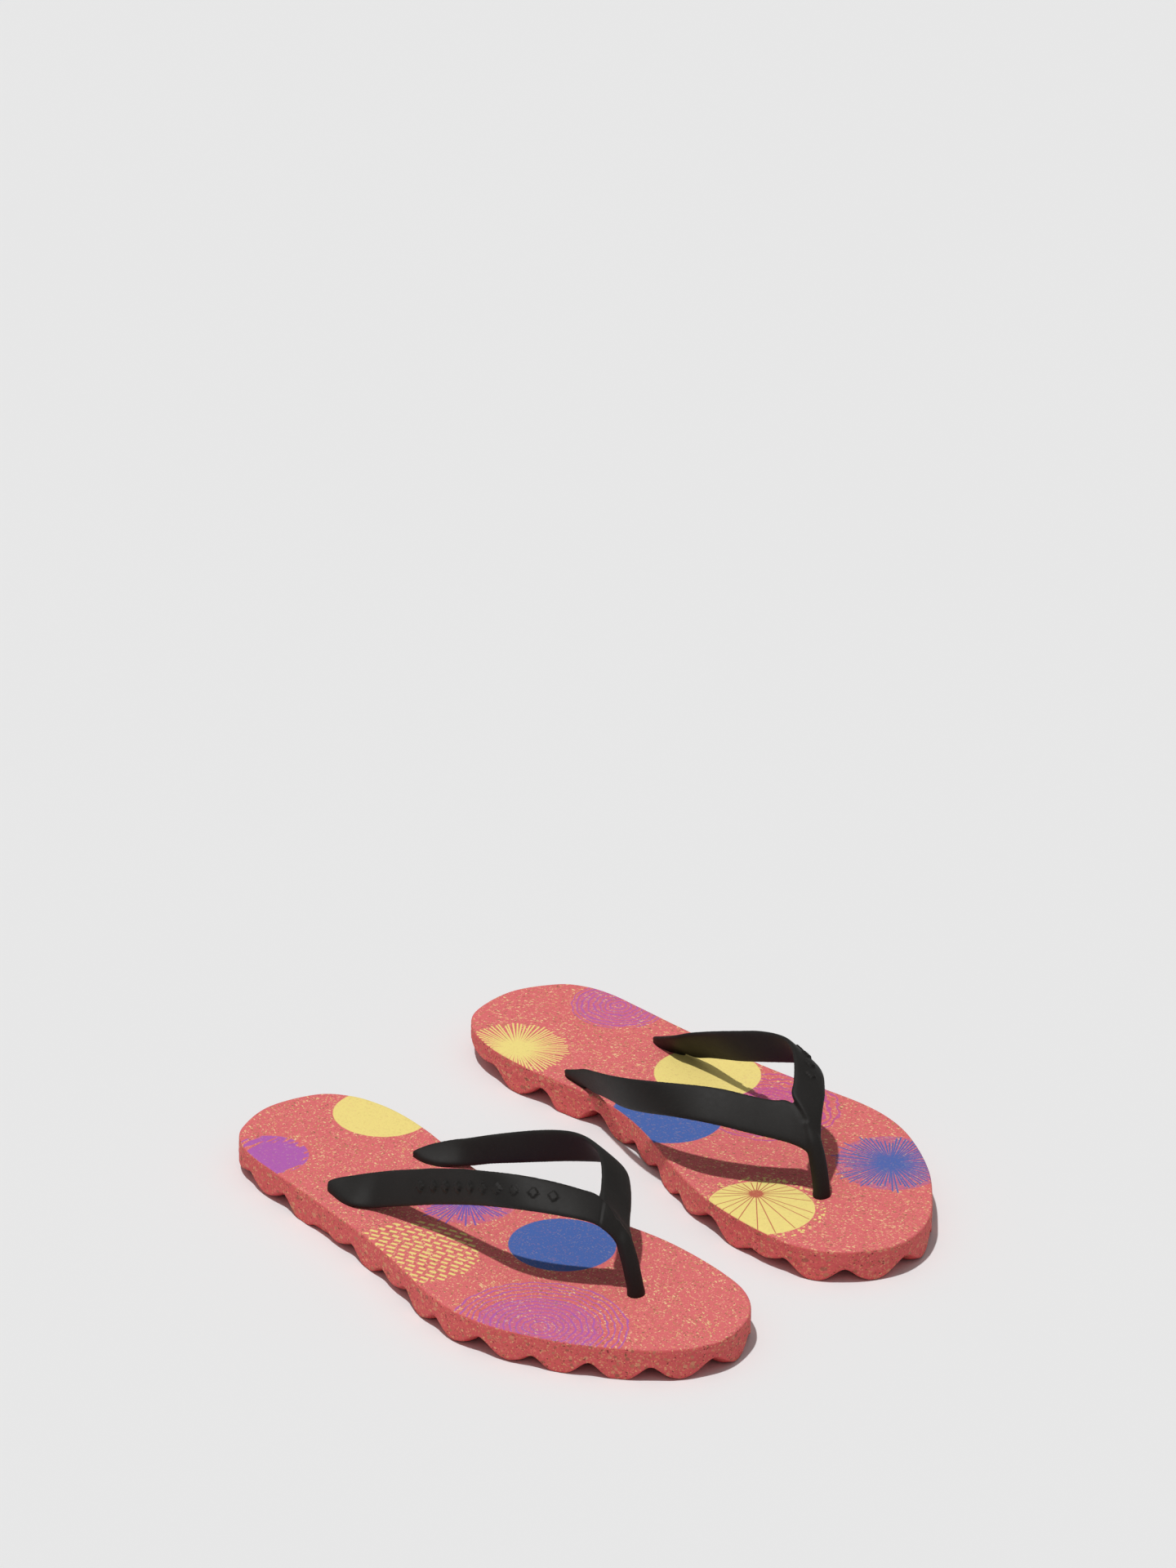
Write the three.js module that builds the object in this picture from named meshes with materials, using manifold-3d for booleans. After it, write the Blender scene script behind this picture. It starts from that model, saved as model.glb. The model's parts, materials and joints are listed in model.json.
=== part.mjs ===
// A pair of thong sandals: each has a moulded sole with a flat footbed and a
// mounded tread, and a moulded Y strap whose toe post and two side arms are held
// by plugs that pass through the sole and end in round discs under it.
// Millimetres, +Z up, +X towards the toes, +Y to the wearer's left, floor at z = 0.
// Everything is modelled once as the right sandal, in its own frame: x to the toe
// from mid-length, +y medial. The left sandal is its mirror image.
import * as THREE from 'three';
import { mergeVertices } from 'three/addons/utils/BufferGeometryUtils.js';
import Module from 'manifold-3d';

const wasm = await Module();
wasm.setup();

// ---- driving dimensions -------------------------------------------------
const THICKNESS = 13.5;        // sole, floor to footbed
const FLEX_X = 52;             // ball line, where the sole is cut in two
const CUT_GAP = 0.3;           // clearance across the ball line
const CUT_REACH = 200;         // cutting blocks run this far from the origin in x and y
const CUT_HEIGHT = 100;
const OVERCUT = 1;             // holes run this far past the surface they open on

const YAW = 3.66;              // toe-in of each sandal, degrees
const HALF_SPACING = 63.5;     // centre of each sandal from the pair's middle
const STAGGER = 7;             // right sandal forward, left sandal back

// ---- tread dimensions
const HOLLOW = 7.0;            // tread hollow above the floor
const CREST_TRIM = 1.08;       // mound height over HOLLOW; the part below the floor is trimmed flat
const MOUND_RADIUS = 14.5;     // foot of a full tread mound
const MOUND_FLAT = 2.6;        // radius of its blunt top
const PAD_MARGIN = 2.0;        // flat pad round each plug disc
const PAD_BLEND = 4.5;         // width of the slope from pad to tread
const GRID = { step: 4.2, x: -130, y: -60, length: 260, width: 110, bottom: -8 };

// staggered rows of mounds inside the rim mounds, and what each mound keeps clear of
const INFILL = {
  x: -108, y: -53, columns: 12, rows: 6, pitchX: 20, pitchY: 22, share: 0.94,
  rimGap: 12, flexGap: 7, moundGap: 16.5, discGap: 10,
};

// ---- plug dimensions
const HOLE_RADIUS = 3.9;       // through the sole
const STEM_RADIUS = 3.6;
const RECESS_DEPTH = 3.8;      // round recess under the sole, one for each disc
const RECESS_GAP = 0.35;       // round the disc
const ROOF_GAP = 0.3;          // between the disc and the top of its recess
const DISC_THICKNESS = 2.2;
const ROUND_SEGMENTS = 28;
// stemRise: top of the stem above the footbed
const TOE_PLUG = { x: 77.4, y: 5.1, discRadius: 8.0, stemRise: 0 };
const OUTER_PLUG = { x: -53.5, y: -23.6, discRadius: 6.6, stemRise: 0.4 };
const INNER_PLUG = { x: -52.5, y: 22.4, discRadius: 6.6, stemRise: 0.4 };
const PLUGS = [TOE_PLUG, OUTER_PLUG, INNER_PLUG];

// ---- strap dimensions
const ARM_THICKNESS = 2.6;
const POST_RADIUS = { across: 3.3, foreAft: 2.9 };
const POST_GAP = 1.7;          // post end above the footbed
const POST_SEGMENTS = 14;

// ---- tables ---------------------------------------------------------------
// sole outline: x, y, from the heel along the medial side and back along the outer
const OUTLINE = [
  [-125, 3.5], [-120, 24], [-110, 33.5], [-98, 37.3], [-85, 38], [-70, 36.3], [-55, 33],
  [-40, 29.5], [-27, 27.9], [-13, 28.6], [2, 31.4], [20, 36.3], [38, 40.8], [55, 43.2],
  [72, 43.2], [88, 41.6], [102, 38.3], [113, 31.5], [120.5, 21.5], [125, 6], [121.5, -8.5],
  [113, -20.5], [102, -30], [88, -40], [72, -48], [56, -53.5], [42, -55.3], [28, -54],
  [12, -49.8], [-5, -44.8], [-25, -40], [-45, -36.7], [-65, -33.5], [-85, -30.8],
  [-100, -28.4], [-111, -24], [-119.5, -15.5],
];

// tread mounds along the rim: x, y, share of full height
const RIM_MOUNDS = [
  [-108, -17, 0.86], [-90, -25, 0.84], [-66, -30, 1], [-43, -31, 0.82], [-22, -36, 1],
  [-2, -38, 0.86], [19, -46, 1], [40, -49.5, 0.96], [63, -45, 1], [82, -38.5, 1],
  [101, -26, 1], [114.5, -9, 1], [118, 13, 1], [107, 30, 1], [87, 35, 0.7], [71, 38, 1],
  [42, 36, 0.9], [22, 32.5, 1], [0.5, 26.5, 0.88], [-21, 23.5, 1], [-50, 28, 1],
  [-77, 32.5, 1], [-97, 28, 0.45], [-113, 16, 1],
];

// strap arms, heel end to toe: point on the rear/upper edge, then on the
// front/lower edge; z is above the footbed
const OUTER_ARM = [
  [[-64.6, -22.2, 3.1], [-64, -22.8, 1.9]],
  [[-61.5, -20.2, 5.0], [-59.5, -23.6, 1.8]],
  [[-56, -18, 7.0], [-53, -24.6, 1.6]],
  [[-50, -16.2, 9.0], [-46, -24.9, 1.5]],
  [[-42, -14.4, 11.8], [-38, -24.1, 1.6]],
  [[-34, -14.9, 15.5], [-29, -23.1, 4.3]],
  [[-24, -15.8, 20.3], [-18, -21.9, 8.8]],
  [[-14, -16.1, 24.9], [-8, -20.6, 12.9]],
  [[-4, -16.8, 29.2], [2, -20.5, 17]],
  [[6, -17.5, 33.4], [12, -20.9, 21.1]],
  [[16, -17.6, 36.7], [22, -21.8, 25.1]],
  [[25, -16.2, 39], [31, -22.6, 28.5]],
  [[33, -13.1, 39.9], [40, -21.2, 30.7]],
  [[40, -8.9, 39.5], [47.5, -18, 31.4]],
  [[46, -4.6, 38.4], [54, -13.6, 31.0]],
  [[51.5, 0, 36.6], [60, -9, 30.1]],
  [[56, 4.4, 34.4], [65, -4.2, 27.9]],
  [[62, 4.9, 31], [69, -0.4, 23.3]],
  [[67.5, 4.9, 25.5], [71.6, 1.6, 18.5]],
  [[71.5, 4.9, 18], [73, 3, 14.5]],
];
const INNER_ARM = [
  [[-63.2, 21.4, 3.1], [-62.6, 22.2, 1.9]],
  [[-60, 24.4, 4.4], [-58, 22.2, 1.8]],
  [[-55, 27, 5.8], [-51.5, 23, 1.6]],
  [[-48, 29.2, 7.9], [-45, 24.8, 1.5]],
  [[-41, 30.6, 10.6], [-37, 27.4, 1.6]],
  [[-32, 33, 14.2], [-28, 30.3, 3.9]],
  [[-22, 35.9, 18.4], [-18, 33.5, 7.2]],
  [[-12, 38, 22.5], [-8, 36.9, 10.4]],
  [[-2, 39.1, 26.3], [3, 39.4, 14.3]],
  [[8, 38.4, 29.7], [14, 40.6, 18.3]],
  [[17, 35.9, 32.1], [24, 40.8, 21.9]],
  [[25, 32.3, 33.7], [33, 39.4, 24.3]],
  [[32, 28.4, 34.7], [41, 35.8, 25.1]],
  [[39, 23.2, 34.7], [48, 30.5, 24.5]],
  [[45, 17.8, 33.5], [55, 24, 22.9]],
  [[51, 11.4, 32.1], [61, 17.6, 21.2]],
  [[56, 5.6, 32], [66, 12.6, 19.6]],
  [[62, 5, 29.3], [70, 9.6, 18.2]],
  [[67.5, 4.9, 24.2], [72.4, 7.6, 16]],
  [[71.5, 4.9, 17.7], [73.5, 6.4, 13.7]],
];

// arm cross-section: share of the half width, share of the thickness
const RIBBON = [
  [-1, -0.3], [-0.72, -0.5], [0.72, -0.5], [1, -0.3],
  [1, 0.3], [0.72, 0.5], [-0.72, 0.5], [-1, 0.3],
];

// centre line of the toe post, top to bottom; z is above the footbed
const POST_LINE = [
  [66.5, 4.8, 27], [70, 4.7, 21.5], [72.6, 4.7, 16.5], [74.6, 4.8, 11.5],
  [76.1, 4.9, 6.5], [77.3, 5.1, POST_GAP],
];

// ---- solids and meshes ------------------------------------------------------
function solid(geometry) {
  geometry.deleteAttribute('normal');
  geometry.deleteAttribute('uv');
  const merged = mergeVertices(geometry, 1e-4);
  return new wasm.Manifold(new wasm.Mesh({
    numProp: 3,
    vertProperties: new Float32Array(merged.attributes.position.array),
    triVerts: new Uint32Array(merged.index.array),
  }));
}

function indexedSolid(positions, index) {
  const geometry = new THREE.BufferGeometry();
  geometry.setAttribute('position', new THREE.Float32BufferAttribute(positions, 3));
  geometry.setIndex(index);
  return solid(geometry);
}

function geometryOf(manifold) {
  const mesh = manifold.getMesh();
  const geometry = new THREE.BufferGeometry();
  const positions = new Float32Array(mesh.vertProperties);
  geometry.setAttribute('position', new THREE.BufferAttribute(positions, 3));
  geometry.setIndex(new THREE.BufferAttribute(new Uint32Array(mesh.triVerts), 1));
  return geometry;
}

function cylinder(radius, { x, y }, bottom, top) {
  const geometry = new THREE.CylinderGeometry(radius, radius, top - bottom, ROUND_SEGMENTS);
  geometry.rotateX(Math.PI / 2);
  geometry.translate(x, y, (bottom + top) / 2);
  return solid(geometry);
}

function block(xStart, xEnd) {
  const geometry = new THREE.BoxGeometry(xEnd - xStart, 2 * CUT_REACH, CUT_HEIGHT);
  geometry.translate((xStart + xEnd) / 2, 0, 0);
  return solid(geometry);
}

// ---- rim --------------------------------------------------------------------
// Catmull-Rom curve through the outline, three points to each span
function smoothRim() {
  const count = OUTLINE.length;
  return OUTLINE.flatMap((_, i) => {
    const [p0, p1, p2, p3] = [-1, 0, 1, 2].map((k) => OUTLINE[(i + k + count) % count]);
    return [0, 1 / 3, 2 / 3].map((t) => [0, 1].map((a) => 0.5 * (
      2 * p1[a] + (p2[a] - p0[a]) * t
      + (2 * p0[a] - 5 * p1[a] + 4 * p2[a] - p3[a]) * t * t
      + (3 * p1[a] - p0[a] - 3 * p2[a] + p3[a]) * t * t * t)));
  });
}
const rim = smoothRim();

// distance to the rim, positive inside it and negative outside
function rimDistance(x, y) {
  let nearest = Infinity;
  let inside = false;
  rim.forEach(([xi, yi], i) => {
    const [xj, yj] = rim[(i + rim.length - 1) % rim.length];
    const dx = xj - xi;
    const dy = yj - yi;
    const share = ((x - xi) * dx + (y - yi) * dy) / (dx ** 2 + dy ** 2);
    const s = THREE.MathUtils.clamp(share, 0, 1);
    nearest = Math.min(nearest, Math.hypot(x - xi - s * dx, y - yi - s * dy));
    if ((yi > y) !== (yj > y) && x < (dx * (y - yi)) / dy + xi) inside = !inside;
  });
  return inside ? nearest : -nearest;
}

// ---- tread ------------------------------------------------------------------
function allMounds() {
  const mounds = [...RIM_MOUNDS];
  for (let i = 0; i < INFILL.columns; i++) {
    for (let j = 0; j < INFILL.rows; j++) {
      const x = INFILL.x + i * INFILL.pitchX;
      const y = INFILL.y + j * INFILL.pitchY + (i % 2) * (INFILL.pitchY / 2);
      const distanceTo = (px, py) => Math.hypot(px - x, py - y);
      if (rimDistance(x, y) < INFILL.rimGap) continue;
      if (Math.abs(x - FLEX_X) < INFILL.flexGap) continue;
      if (mounds.some(([mx, my]) => distanceTo(mx, my) < INFILL.moundGap)) continue;
      if (PLUGS.some((p) => distanceTo(p.x, p.y) < p.discRadius + INFILL.discGap)) continue;
      mounds.push([x, y, INFILL.share]);
    }
  }
  return mounds;
}
const mounds = allMounds();

function treadHeight(x, y) {
  let hollow = 1;              // 1 in a hollow, 0 on a crest or a pad
  for (const [mx, my, share] of mounds) {
    const distance = Math.hypot(x - mx, y - my);
    if (distance < MOUND_RADIUS) {
      const t = Math.max(0, distance - MOUND_FLAT) / (MOUND_RADIUS - MOUND_FLAT);
      hollow *= 1 - share * 0.5 * (1 + Math.cos(Math.PI * t));
    }
  }
  for (const plug of PLUGS) {
    const distance = Math.hypot(x - plug.x, y - plug.y);
    const t = (distance - plug.discRadius - PAD_MARGIN) / PAD_BLEND;
    hollow *= THREE.MathUtils.smoothstep(t, 0, 1);
  }
  return HOLLOW * (1 - CREST_TRIM * (1 - hollow));
}

// everything below the tread surface, as one closed solid
function treadCutter() {
  const columns = Math.ceil(GRID.length / GRID.step);
  const rows = Math.ceil(GRID.width / GRID.step);
  const positions = [];
  const index = [];
  for (let i = 0; i <= columns; i++) {
    for (let j = 0; j <= rows; j++) {
      const x = GRID.x + i * GRID.step;
      const y = GRID.y + j * GRID.step;
      positions.push(x, y, treadHeight(x, y));
    }
  }
  const top = (i, j) => i * (rows + 1) + j;
  for (let i = 0; i < columns; i++) {
    for (let j = 0; j < rows; j++) {
      const [a, b, c, d] = [top(i, j), top(i + 1, j), top(i + 1, j + 1), top(i, j + 1)];
      // the diagonals alternate
      if ((i + j) % 2) index.push(a, b, c, a, c, d);
      else index.push(a, b, d, b, c, d);
    }
  }

  // skirt down to a flat underside
  const edge = [];
  for (let i = 0; i < columns; i++) edge.push(top(i, 0));
  for (let j = 0; j < rows; j++) edge.push(top(columns, j));
  for (let i = columns; i > 0; i--) edge.push(top(i, rows));
  for (let j = rows; j > 0; j--) edge.push(top(0, j));
  const base = positions.length / 3;
  for (const v of edge) positions.push(positions[3 * v], positions[3 * v + 1], GRID.bottom);
  const centre = positions.length / 3;
  positions.push(
    GRID.x + (columns * GRID.step) / 2,
    GRID.y + (rows * GRID.step) / 2,
    GRID.bottom,
  );
  for (let k = 0; k < edge.length; k++) {
    const next = (k + 1) % edge.length;
    index.push(edge[k], base + k, base + next, edge[k], base + next, edge[next]);
    index.push(centre, base + next, base + k);
  }
  return indexedSolid(positions, index);
}

// ---- sole and plugs -----------------------------------------------------------
function wholeSole() {
  const shape = new THREE.Shape(rim.map(([x, y]) => new THREE.Vector2(x, y)));
  let body = solid(new THREE.ExtrudeGeometry(shape, { depth: THICKNESS, bevelEnabled: false }));
  body = body.subtract(treadCutter());
  for (const plug of PLUGS) {
    const recessRadius = plug.discRadius + RECESS_GAP;
    body = body.subtract(cylinder(HOLE_RADIUS, plug, -OVERCUT, THICKNESS + OVERCUT));
    body = body.subtract(cylinder(recessRadius, plug, -OVERCUT, RECESS_DEPTH));
  }
  return body;
}

function plugSolid(plug) {
  const bottom = RECESS_DEPTH - ROOF_GAP - DISC_THICKNESS;
  const disc = cylinder(plug.discRadius, plug, bottom, bottom + DISC_THICKNESS);
  // the stem starts inside the disc, so the two join
  const stemBottom = bottom + DISC_THICKNESS / 2;
  return disc.add(cylinder(STEM_RADIUS, plug, stemBottom, THICKNESS + plug.stemRise));
}

// ---- strap ----------------------------------------------------------------
const vector = (point) => new THREE.Vector3(...point);

// the entries before and after the i-th, stopping at the ends of the list
function neighbours(list, i) {
  return [list[Math.max(0, i - 1)], list[Math.min(list.length - 1, i + 1)]];
}

// closed skin over rings that run anticlockwise about the direction of travel
function tube(rings) {
  const count = rings[0].length;
  const positions = rings.flat().flatMap((p) => [p.x, p.y, p.z]);
  const index = [];
  for (let i = 0; i + 1 < rings.length; i++) {
    const near = i * count;
    const far = near + count;
    for (let k = 0; k < count; k++) {
      const next = (k + 1) % count;
      index.push(near + k, near + next, far + next, near + k, far + next, far + k);
    }
  }
  for (const row of [0, rings.length - 1]) {
    const middle = new THREE.Vector3();
    for (const p of rings[row]) middle.addScaledVector(p, 1 / count);
    const centre = positions.length / 3;
    positions.push(middle.x, middle.y, middle.z);
    for (let k = 0; k < count; k++) {
      const here = row * count + k;
      const next = row * count + ((k + 1) % count);
      if (row === 0) index.push(centre, next, here);
      else index.push(centre, here, next);
    }
  }
  return indexedSolid(positions, index);
}

// thin at the heel end, thick where the arms meet the post
function armThickness(i) {
  if (i === 0) return ARM_THICKNESS * 0.6;
  if (i === 1) return ARM_THICKNESS * 0.85;
  return i > 15 ? ARM_THICKNESS * 1.25 : ARM_THICKNESS;
}

function arm(rows) {
  return tube(rows.map(([rear, front], i) => {
    const middle = vector(rear).add(vector(front)).multiplyScalar(0.5);
    const halfWidth = vector(rear).sub(vector(front)).multiplyScalar(0.5);
    const [before, after] = neighbours(rows, i);
    const along = vector(after[0]).add(vector(after[1]))
      .sub(vector(before[0])).sub(vector(before[1])).normalize();
    const through = along.cross(halfWidth).normalize();
    return RIBBON.map(([u, v]) => middle.clone()
      .addScaledVector(halfWidth, u)
      .addScaledVector(through, v * armThickness(i)));
  }));
}

function post() {
  const side = new THREE.Vector3(0, 1, 0);
  return tube(POST_LINE.map((point, i) => {
    const [before, after] = neighbours(POST_LINE, i);
    // the last ring lies level, over the plug
    const along = i === POST_LINE.length - 1
      ? new THREE.Vector3(0, 0, -1)
      : vector(after).sub(vector(before)).normalize();
    const fore = along.cross(side).normalize();
    return Array.from({ length: POST_SEGMENTS }, (_, k) => {
      const angle = (k / POST_SEGMENTS) * 2 * Math.PI;
      return vector(point)
        .addScaledVector(side, POST_RADIUS.across * Math.cos(angle))
        .addScaledVector(fore, POST_RADIUS.foreAft * Math.sin(angle));
    });
  }));
}

function strap() {
  return arm(OUTER_ARM).add(arm(INNER_ARM)).add(post()).translate([0, 0, THICKNESS]);
}

// ---- materials --------------------------------------------------------------
const soleMaterial = () => new THREE.MeshStandardMaterial({
  color: 0xd6625f, roughness: 0.92, metalness: 0,
});
const strapMaterial = () => new THREE.MeshStandardMaterial({
  color: 0x2c2b29, roughness: 0.62, metalness: 0,
});

// ---- one sandal, then its mirror image --------------------------------------
const sole = wholeSole();
const pieces = [
  ['sole_heel', sole.intersect(block(-CUT_REACH, FLEX_X - CUT_GAP / 2)), soleMaterial],
  ['sole_forefoot', sole.intersect(block(FLEX_X + CUT_GAP / 2, CUT_REACH)), soleMaterial],
  ['strap', strap(), strapMaterial],
  ['toe_plug', plugSolid(TOE_PLUG), strapMaterial],
  ['outer_plug', plugSolid(OUTER_PLUG), strapMaterial],
  ['inner_plug', plugSolid(INNER_PLUG), strapMaterial],
];

// right sandal's frame to the pair's frame
const rightPlace = new THREE.Matrix4().makeTranslation(STAGGER, -HALF_SPACING, 0)
  .multiply(new THREE.Matrix4().makeRotationZ(THREE.MathUtils.degToRad(YAW)));
const rimX = rim.map(([x, y]) => new THREE.Vector3(x, y, 0).applyMatrix4(rightPlace).x);
// centres the pair's length on the origin
const shift = -(Math.max(...rimX) + Math.min(...rimX) - 2 * STAGGER) / 2;

function mirrorToLeft(geometry) {
  geometry.applyMatrix4(new THREE.Matrix4().makeScale(1, -1, 1));
  geometry.translate(-2 * STAGGER, 0, 0);
  // mirroring turns the faces inside out, so their winding is reversed
  const index = geometry.index.array;
  for (let t = 0; t < index.length; t += 3) {
    [index[t + 1], index[t + 2]] = [index[t + 2], index[t + 1]];
  }
}

const pair = new THREE.Group();
pair.name = 'sandal_pair';
for (const side of ['right', 'left']) {
  for (const [name, manifold, material] of pieces) {
    const geometry = geometryOf(manifold);
    geometry.applyMatrix4(rightPlace);
    if (side === 'left') mirrorToLeft(geometry);
    geometry.translate(shift, 0, 0);
    geometry.computeVertexNormals();
    const mesh = new THREE.Mesh(geometry, material());
    mesh.name = `${side}_${name}`;
    pair.add(mesh);
  }
}

export default pair;
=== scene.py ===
"""A pair of thong sandals: cork-rubber soles, black moulded straps, plug discs under the soles.

Each sandal is built in the right sandal's own frame, in millimetres: x to the toe from
mid-length, +y medial, z up from the floor. to_row() puts it in the pair's frame, in metres,
where the right sandal lies at -y and the left one is its mirror image at +y.
"""
import json
import math

import bmesh
import bpy
import numpy as np
from mathutils import Matrix, Vector, kdtree, noise
from mathutils.geometry import delaunay_2d_cdt
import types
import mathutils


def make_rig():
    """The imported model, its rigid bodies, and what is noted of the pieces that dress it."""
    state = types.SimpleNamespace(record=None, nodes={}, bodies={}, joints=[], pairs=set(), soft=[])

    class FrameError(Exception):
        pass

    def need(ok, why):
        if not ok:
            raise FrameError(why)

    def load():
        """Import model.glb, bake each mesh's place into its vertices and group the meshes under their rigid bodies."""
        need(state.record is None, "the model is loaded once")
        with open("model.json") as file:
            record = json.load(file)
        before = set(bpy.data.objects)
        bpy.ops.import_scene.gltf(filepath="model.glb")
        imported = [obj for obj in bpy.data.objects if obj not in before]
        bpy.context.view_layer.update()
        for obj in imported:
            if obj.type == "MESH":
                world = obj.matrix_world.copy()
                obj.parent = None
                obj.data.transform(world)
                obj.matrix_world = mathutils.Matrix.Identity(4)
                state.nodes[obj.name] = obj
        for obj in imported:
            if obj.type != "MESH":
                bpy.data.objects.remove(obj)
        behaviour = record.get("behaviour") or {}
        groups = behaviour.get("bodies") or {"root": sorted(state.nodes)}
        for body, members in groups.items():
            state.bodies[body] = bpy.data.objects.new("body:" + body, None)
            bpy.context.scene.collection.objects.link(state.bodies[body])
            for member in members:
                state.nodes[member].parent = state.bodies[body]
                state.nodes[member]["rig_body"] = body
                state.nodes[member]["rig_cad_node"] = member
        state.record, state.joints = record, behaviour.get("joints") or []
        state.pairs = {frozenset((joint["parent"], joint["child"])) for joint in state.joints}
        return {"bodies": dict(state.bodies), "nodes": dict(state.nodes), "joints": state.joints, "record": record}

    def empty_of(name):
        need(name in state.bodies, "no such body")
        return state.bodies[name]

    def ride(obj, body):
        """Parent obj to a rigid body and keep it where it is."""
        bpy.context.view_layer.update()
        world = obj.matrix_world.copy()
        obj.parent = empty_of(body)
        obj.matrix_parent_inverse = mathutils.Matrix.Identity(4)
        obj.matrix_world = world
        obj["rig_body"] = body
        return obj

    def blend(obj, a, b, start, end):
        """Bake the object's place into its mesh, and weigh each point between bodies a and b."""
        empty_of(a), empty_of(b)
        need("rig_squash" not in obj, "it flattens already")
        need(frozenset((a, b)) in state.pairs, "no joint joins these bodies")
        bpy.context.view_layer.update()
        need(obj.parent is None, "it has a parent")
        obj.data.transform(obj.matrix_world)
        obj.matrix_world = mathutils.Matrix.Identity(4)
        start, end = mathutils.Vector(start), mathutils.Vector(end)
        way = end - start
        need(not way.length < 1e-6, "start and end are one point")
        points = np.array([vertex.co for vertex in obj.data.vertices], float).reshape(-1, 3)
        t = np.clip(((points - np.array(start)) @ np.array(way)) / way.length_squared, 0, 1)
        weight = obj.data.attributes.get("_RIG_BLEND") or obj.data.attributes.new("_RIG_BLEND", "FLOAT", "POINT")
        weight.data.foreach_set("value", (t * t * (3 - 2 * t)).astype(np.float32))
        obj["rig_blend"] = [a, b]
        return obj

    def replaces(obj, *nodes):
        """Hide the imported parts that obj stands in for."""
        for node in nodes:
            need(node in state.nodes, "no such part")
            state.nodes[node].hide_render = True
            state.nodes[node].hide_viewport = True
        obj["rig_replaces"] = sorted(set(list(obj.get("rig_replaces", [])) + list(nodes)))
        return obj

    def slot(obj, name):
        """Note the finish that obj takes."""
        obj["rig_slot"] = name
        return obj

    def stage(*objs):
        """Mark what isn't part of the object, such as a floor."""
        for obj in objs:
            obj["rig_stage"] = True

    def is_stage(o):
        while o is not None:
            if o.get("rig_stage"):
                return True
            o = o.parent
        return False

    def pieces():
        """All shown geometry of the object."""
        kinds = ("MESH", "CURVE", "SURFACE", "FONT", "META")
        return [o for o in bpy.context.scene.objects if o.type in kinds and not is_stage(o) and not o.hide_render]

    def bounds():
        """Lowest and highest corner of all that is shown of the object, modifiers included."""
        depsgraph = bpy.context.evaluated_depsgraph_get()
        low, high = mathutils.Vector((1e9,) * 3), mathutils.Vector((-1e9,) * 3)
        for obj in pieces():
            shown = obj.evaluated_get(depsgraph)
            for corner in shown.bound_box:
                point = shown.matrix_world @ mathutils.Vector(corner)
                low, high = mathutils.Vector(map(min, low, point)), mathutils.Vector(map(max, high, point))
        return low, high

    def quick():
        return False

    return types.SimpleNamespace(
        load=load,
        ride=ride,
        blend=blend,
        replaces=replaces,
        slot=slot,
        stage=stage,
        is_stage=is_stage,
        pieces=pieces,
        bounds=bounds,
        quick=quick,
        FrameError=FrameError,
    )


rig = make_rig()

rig.load()
cad_low, cad_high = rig.bounds()

# ---- sizes and places, mm ---------------------------------------------------
YAW = math.radians(3.66)  # the toes turn in
HALF_SPACING = 63.5
STAGGER = 7.0  # the right sandal lies this far ahead, the left one as far behind
SHIFT = 0.3032  # of the pair towards the toes

THICKNESS = 13.5
RIM_STEP = 1.15  # between points round the sole
TOP_ROUND = 0.9  # radius of the footbed's edge
BOTTOM_INSET = 0.4
WALL_STEPS = 11
FOOTBED_PITCH = 2.2
TREAD_PITCH = 1.75

VALLEY = 7.0  # height of the hollows between the tread mounds
CREST_TRIM = 1.08
CREST_SOFT = 0.35
MOUND_RADIUS = 14.5
MOUND_FLAT = 2.6
FLEX_X = 52.0  # a cross line kept free of inner mounds

# plug discs under the sole: x, y, radius
PLUGS = {"toe": (77.4, 5.1, 8.0), "outer": (-53.5, -23.6, 6.6), "inner": (-52.5, 22.4, 6.6)}
# body a disc rides on, top of its stem;
# the toe stem is short: the post comes down towards it when the sole bends
PLUG_FIT = {"toe": ("forefoot", 6.6), "outer": ("heel", 9.4), "inner": ("heel", 9.4)}
RECESS_DEPTH = 3.8
RECESS_GAP = 0.35
RECESS_CHAMFER = 0.35
RECESS_SEGMENTS = 56
DISC_T = 2.2
DISC_SEGMENTS = 64
PAD_MARGIN = 2.0
PAD_SLOPE = 4.5

# sole outline, clockwise from above, starting at the heel: x, y
OUTLINE = [
    (-125, 3.5), (-120, 24), (-110, 33.5), (-98, 37.3), (-85, 38), (-70, 36.3), (-55, 33),
    (-40, 29.5), (-27, 27.9), (-13, 28.6), (2, 31.4), (20, 36.3), (38, 40.8), (55, 43.2),
    (72, 43.2), (88, 41.6), (102, 38.3), (113, 31.5), (120.5, 21.5), (125, 6), (121.5, -8.5),
    (113, -20.5), (102, -30), (88, -40), (72, -48), (56, -53.5), (42, -55.3), (28, -54),
    (12, -49.8), (-5, -44.8), (-25, -40), (-45, -36.7), (-65, -33.5), (-85, -30.8),
    (-100, -28.4), (-111, -24), (-119.5, -15.5),
]
# tread mounds along the rim: x, y, share of full height
RIM_MOUNDS = [
    (-108, -17, 0.86), (-90, -25, 0.84), (-66, -30, 1), (-43, -31, 0.82), (-22, -36, 1),
    (-2, -38, 0.86), (19, -46, 1), (40, -49.5, 0.96), (63, -45, 1), (82, -38.5, 1),
    (101, -26, 1), (114.5, -9, 1), (118, 13, 1), (107, 30, 1), (87, 35, 0.7), (71, 38, 1),
    (42, 36, 0.9), (22, 32.5, 1), (0.5, 26.5, 0.88), (-21, 23.5, 1), (-50, 28, 1),
    (-77, 32.5, 1), (-97, 28, 0.45), (-113, 16, 1),
]

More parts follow.
